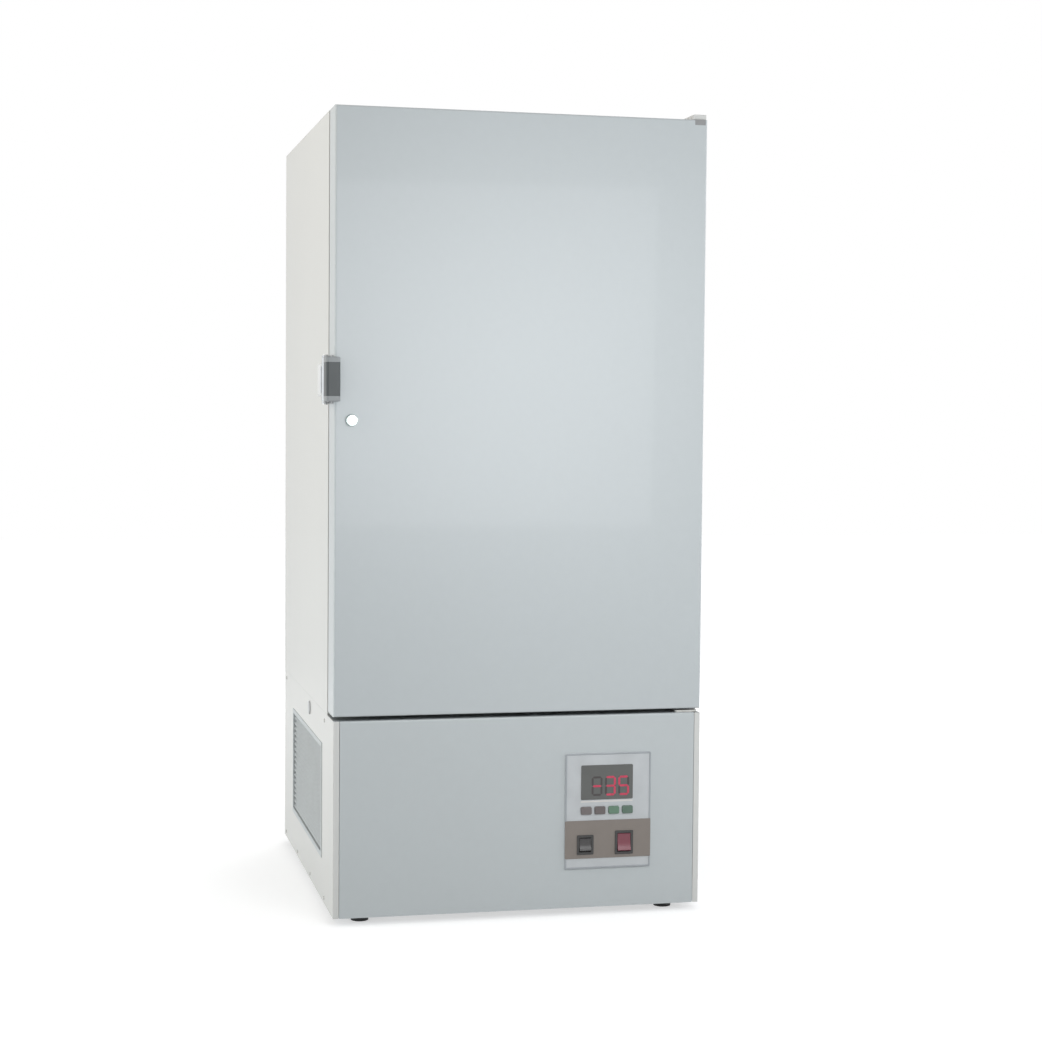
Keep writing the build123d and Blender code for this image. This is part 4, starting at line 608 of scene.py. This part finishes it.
seal_low, seal_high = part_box("door_gasket")
seal_half = SEAL_SECTION[:, 0].max()
seal_loop, seal_out = round_loop((seal_low.x + seal_half, seal_low.z + seal_half),
                                 (seal_high.x - seal_half, seal_high.z - seal_half), SEAL_CORNER)
seal_points, seal_faces = carry_round(SEAL_SECTION, seal_loop, seal_out, seal_low.y, 1)
seal_vinyl = rubber_finish("seal_vinyl", SEAL_GREY, roughness=0.6, spread=0.05)
seal = new_piece("door_seal", seal_points, seal_faces, seal_vinyl, "door")
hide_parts("door_gasket")


# Hinges: zinc-plated plates and pins at the door's right edge, in grey nylon bushes. The same plated steel
# serves the handle's pin and the lock's striker.
BUSH_GREY = (0.30, 0.30, 0.30)

plated_steel = drawn_metal("plated_steel", PLATED, roughness=0.36)
dress(["hinge_plates"], plated_steel, edge=0.0005)
dress(["hinge_pins", "handle_pin", "lock_striker"], plated_steel)
dress(["hinge_bushes"], moulded("bush_nylon", BUSH_GREY, roughness=0.5), edge=0.0005)


# Handle: a cast zinc lever on a cast bracket, a dark moulded grip that wraps the door's corner, with a paler
# cap at each end, and a pale moulded strike on the cabinet.
CAST_ZINC = (0.40, 0.41, 0.42)
GRIP_DARK = (0.050, 0.058, 0.060)
GRIP_GRAIN = (900.0, 3.0)
GRIP_END = (0.27, 0.285, 0.29)
GRIP_END_HEIGHT = 0.012
STRIKE_WHITE = (0.72, 0.735, 0.73)

dress(["handle_bracket", "handle_lever"], drawn_metal("cast_zinc", CAST_ZINC, roughness=0.42), edge=0.0005)
grip_plastic = moulded("grip_plastic", GRIP_DARK, roughness=0.42, strength=0.3, grain=GRIP_GRAIN)
grip_tree = grip_plastic.node_tree
grip_low, grip_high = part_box("handle_grip")
grip_place = add_node(grip_tree, "ShaderNodeTexCoord").outputs["Object"]
grip_z = add_node(grip_tree, "ShaderNodeSeparateXYZ", Vector=grip_place).outputs[2]
from_middle = add_node(grip_tree, "ShaderNodeMath", {"operation": "COMPARE"}, in0=grip_z,
                       in1=(grip_low.z + grip_high.z) / 2,
                       in2=(grip_high.z - grip_low.z) / 2 - GRIP_END_HEIGHT).outputs[0]
grip_colour = add_node(grip_tree, "ShaderNodeMix", {"data_type": "RGBA"}, in0=from_middle,
                       in6=GRIP_END + (1,), in7=GRIP_DARK + (1,)).outputs[2]
grip_tree.links.new(grip_colour, grip_tree.nodes["Principled BSDF"].inputs["Base Color"])
dress(["handle_grip"], grip_plastic)
dress(["handle_strike"], moulded("strike_plastic", STRIKE_WHITE, roughness=0.24, strength=0.06), edge=0.0005)


# Key lock: a chromed case through the door with a turning core. The chrome shows the surround, so its own
# colour is kept low.
CHROME = (0.46, 0.53, 0.52)

dress(["lock_barrel", "lock_core"], drawn_metal("lock_chrome", CHROME, roughness=0.22, spread=0.03))


# Control panel: a pale moulded fascia with a raised rim, its darker grey painted shade along the edge, a
# smoked display window with lit numbers, four push keys, and a grey-brown plate with a black and a red rocker
# switch in black frames.
FASCIA = (0.565, 0.585, 0.595)
STRIP_BROWN = (0.235, 0.205, 0.182)
SMOKED = (0.115, 0.118, 0.112)
FRAME_BLACK = (0.045, 0.044, 0.043)
ROCKER_RED = (0.21, 0.055, 0.075)
ROCKER_BLACK = (0.058, 0.055, 0.055)
KEY_COLOURS = {"key_1": (0.165, 0.145, 0.142), "key_2": (0.140, 0.120, 0.118),
               "key_3": (0.13, 0.225, 0.155), "key_4": (0.105, 0.165, 0.125)}
# The rim's darker grey is painted shade: it stands for the shadow along the fascia's raised edge.
RIM_SHADE_GREY = (0.37, 0.39, 0.41)
RIM_CORNER = 0.004
RIM_SIZE = (0.0042, 0.0012)  # across the rim and out of the fascia
RIM_SECTION = [(0, -0.2), (0, 0.6), (-0.2, 1), (-0.8, 1), (-1, 0.7), (-1, -0.2)]    # in RIM_SIZE

dress(["control_plate"], moulded("fascia_plastic", FASCIA, roughness=0.42))
dress(["switch_strip"], moulded("strip_plastic", STRIP_BROWN, roughness=0.5), edge=0.0003)
dress(["display_lens"], moulded("smoked_plastic", SMOKED, roughness=0.16, strength=0.0))
dress(["control_box", "rocker_frames"], moulded("frame_plastic", FRAME_BLACK, roughness=0.4), edge=0.0004)
dress(["power_rocker"], moulded("rocker_red", ROCKER_RED, roughness=0.25, strength=0.03), edge=0.0005)
dress(["alarm_rocker"], moulded("rocker_black", ROCKER_BLACK, roughness=0.3, strength=0.03), edge=0.0005)
for key, colour in KEY_COLOURS.items():
    dress([key], moulded(f"{key}_plastic", colour, roughness=0.45))

plate_low, plate_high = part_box("control_plate")
rim_loop, rim_out = round_loop((plate_low.x, plate_low.z), (plate_high.x, plate_high.z), RIM_CORNER)
rim_points, rim_faces = carry_round(np.array(RIM_SECTION) * RIM_SIZE, rim_loop, rim_out, plate_low.y, -1)
# Rim round the fascia, in the darker grey that paints shade along its edge.
new_piece("fascia_rim", rim_points, rim_faces, moulded("rim_painted_shade", RIM_SHADE_GREY, roughness=0.45), "cabinet")


# Display: a reading of three seven-bar digits on the window, with lit bars in red and the others nearly
# black, and a light line printed on the fascia below the window.
DIGIT_RED = (0.42, 0.03, 0.07)
DIGIT_GLOW = 0.35
DIGIT_SPREAD = 0.15
DIGIT_PATCH = (160.0, 1.0)
DIGIT_ROUGHNESS = 0.3
BAR_DARK = (0.062, 0.052, 0.052)
LINE_WHITE = (0.74, 0.71, 0.68)
DIGIT_HEIGHT = 0.042
DIGIT_WIDTH = 0.022
DIGIT_PITCH = 0.033
BAR = 0.0050
BAR_GAP = 0.0005
READING = "-35"
READING_SHIFT = (0.008, -0.009)    # of the reading from the window's middle, in X and Z
SEGMENTS = {"-": "g", "3": "abcdg", "5": "acdfg"}
BARS = {                     # middle of each bar in halves of a digit's width and height; whether it stands
    "a": (0, 1, False), "b": (1, 0.5, True), "c": (1, -0.5, True), "d": (0, -1, False),
    "e": (-1, -0.5, True), "f": (-1, 0.5, True), "g": (0, 0, False)}
SUNK = 0.0002                # of the display's shapes, into what they lie on
LIT_RISE = 0.0002
DARK_RISE = 0.00012
LINE_RISE = 0.0003
LINE_HEIGHT = 0.0035
LINE_BELOW = 0.0045          # from the window's lower edge to the line's middle


def stamp(name, outlines, face_y, rise, finish):
    """Flat shapes on the cabinet's front: each outline in X and Z becomes a thin prism along Y."""
    points = []
    faces = []
    first = 0
    for outline in outlines:
        ring = np.asarray(outline, float)
        count = len(ring)
        for y in (face_y - rise, face_y + SUNK):
            points.append(np.column_stack([ring[:, 0], np.full(count, y), ring[:, 1]]))
        faces.append(tuple(range(first, first + count)))
        faces.append(tuple(range(first + 2 * count - 1, first + count - 1, -1)))
        faces += [(first + j, first + count + j, first + count + (j + 1) % count, first + (j + 1) % count)
                  for j in range(count)]
        first += 2 * count
    return new_piece(name, np.vstack(points), faces, finish, "cabinet")


def lit_finish(name, colour):
    """Lit segment: its colour with a little light of its own, uneven as a diffused lamp is."""
    finish, tree, shader, where = new_finish(name)
    tint = shades(tree, noise(tree, where, DIGIT_PATCH), colour, DIGIT_SPREAD)
    tree.links.new(tint, shader.inputs["Base Color"])
    tree.links.new(tint, shader.inputs["Emission Color"])
    shader.inputs["Emission Strength"].default_value = DIGIT_GLOW
    shader.inputs["Roughness"].default_value = DIGIT_ROUGHNESS
    return finish


def bar_outline(x, z, standing):
    """Six-sided bar of a seven-bar digit, with pointed ends."""
    reach = (DIGIT_HEIGHT / 2 if standing else DIGIT_WIDTH) / 2 - BAR_GAP
    thick = BAR / 2
    bar = np.array([(-reach, 0), (-reach + thick, -thick), (reach - thick, -thick), (reach, 0),
                    (reach - thick, thick), (-reach + thick, thick)])
    if standing:
        bar = bar[:, ::-1] * (-1, 1)
    return bar + (x, z)


lens_low, lens_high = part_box("display_lens")
reading_x = (lens_low.x + lens_high.x) / 2 + READING_SHIFT[0]
reading_z = (lens_low.z + lens_high.z) / 2 + READING_SHIFT[1]
lit_bars = []
dark_bars = []
for place, sign in enumerate(READING):
    digit_x = reading_x + (place - 1) * DIGIT_PITCH
    for letter, (across, above, standing) in BARS.items():
        bar_x = digit_x + across * DIGIT_WIDTH / 2
        bar_z = reading_z + above * DIGIT_HEIGHT / 2
        chosen = lit_bars if letter in SEGMENTS[sign] else dark_bars
        chosen.append(bar_outline(bar_x, bar_z, standing))
stamp("display_digits", lit_bars, lens_low.y, LIT_RISE,
      lit_finish("digit_red", DIGIT_RED))
stamp("display_dark_bars", dark_bars, lens_low.y, DARK_RISE,
      moulded("dark_bars", BAR_DARK, roughness=0.25, strength=0.0))

line_low = lens_low.z - LINE_BELOW - LINE_HEIGHT / 2
line_high = line_low + LINE_HEIGHT
line = [(lens_low.x, line_low), (lens_high.x, line_low), (lens_high.x, line_high), (lens_low.x, line_high)]
stamp("fascia_line", [line], plate_low.y, LINE_RISE,
      moulded("line_white", LINE_WHITE, roughness=0.4))
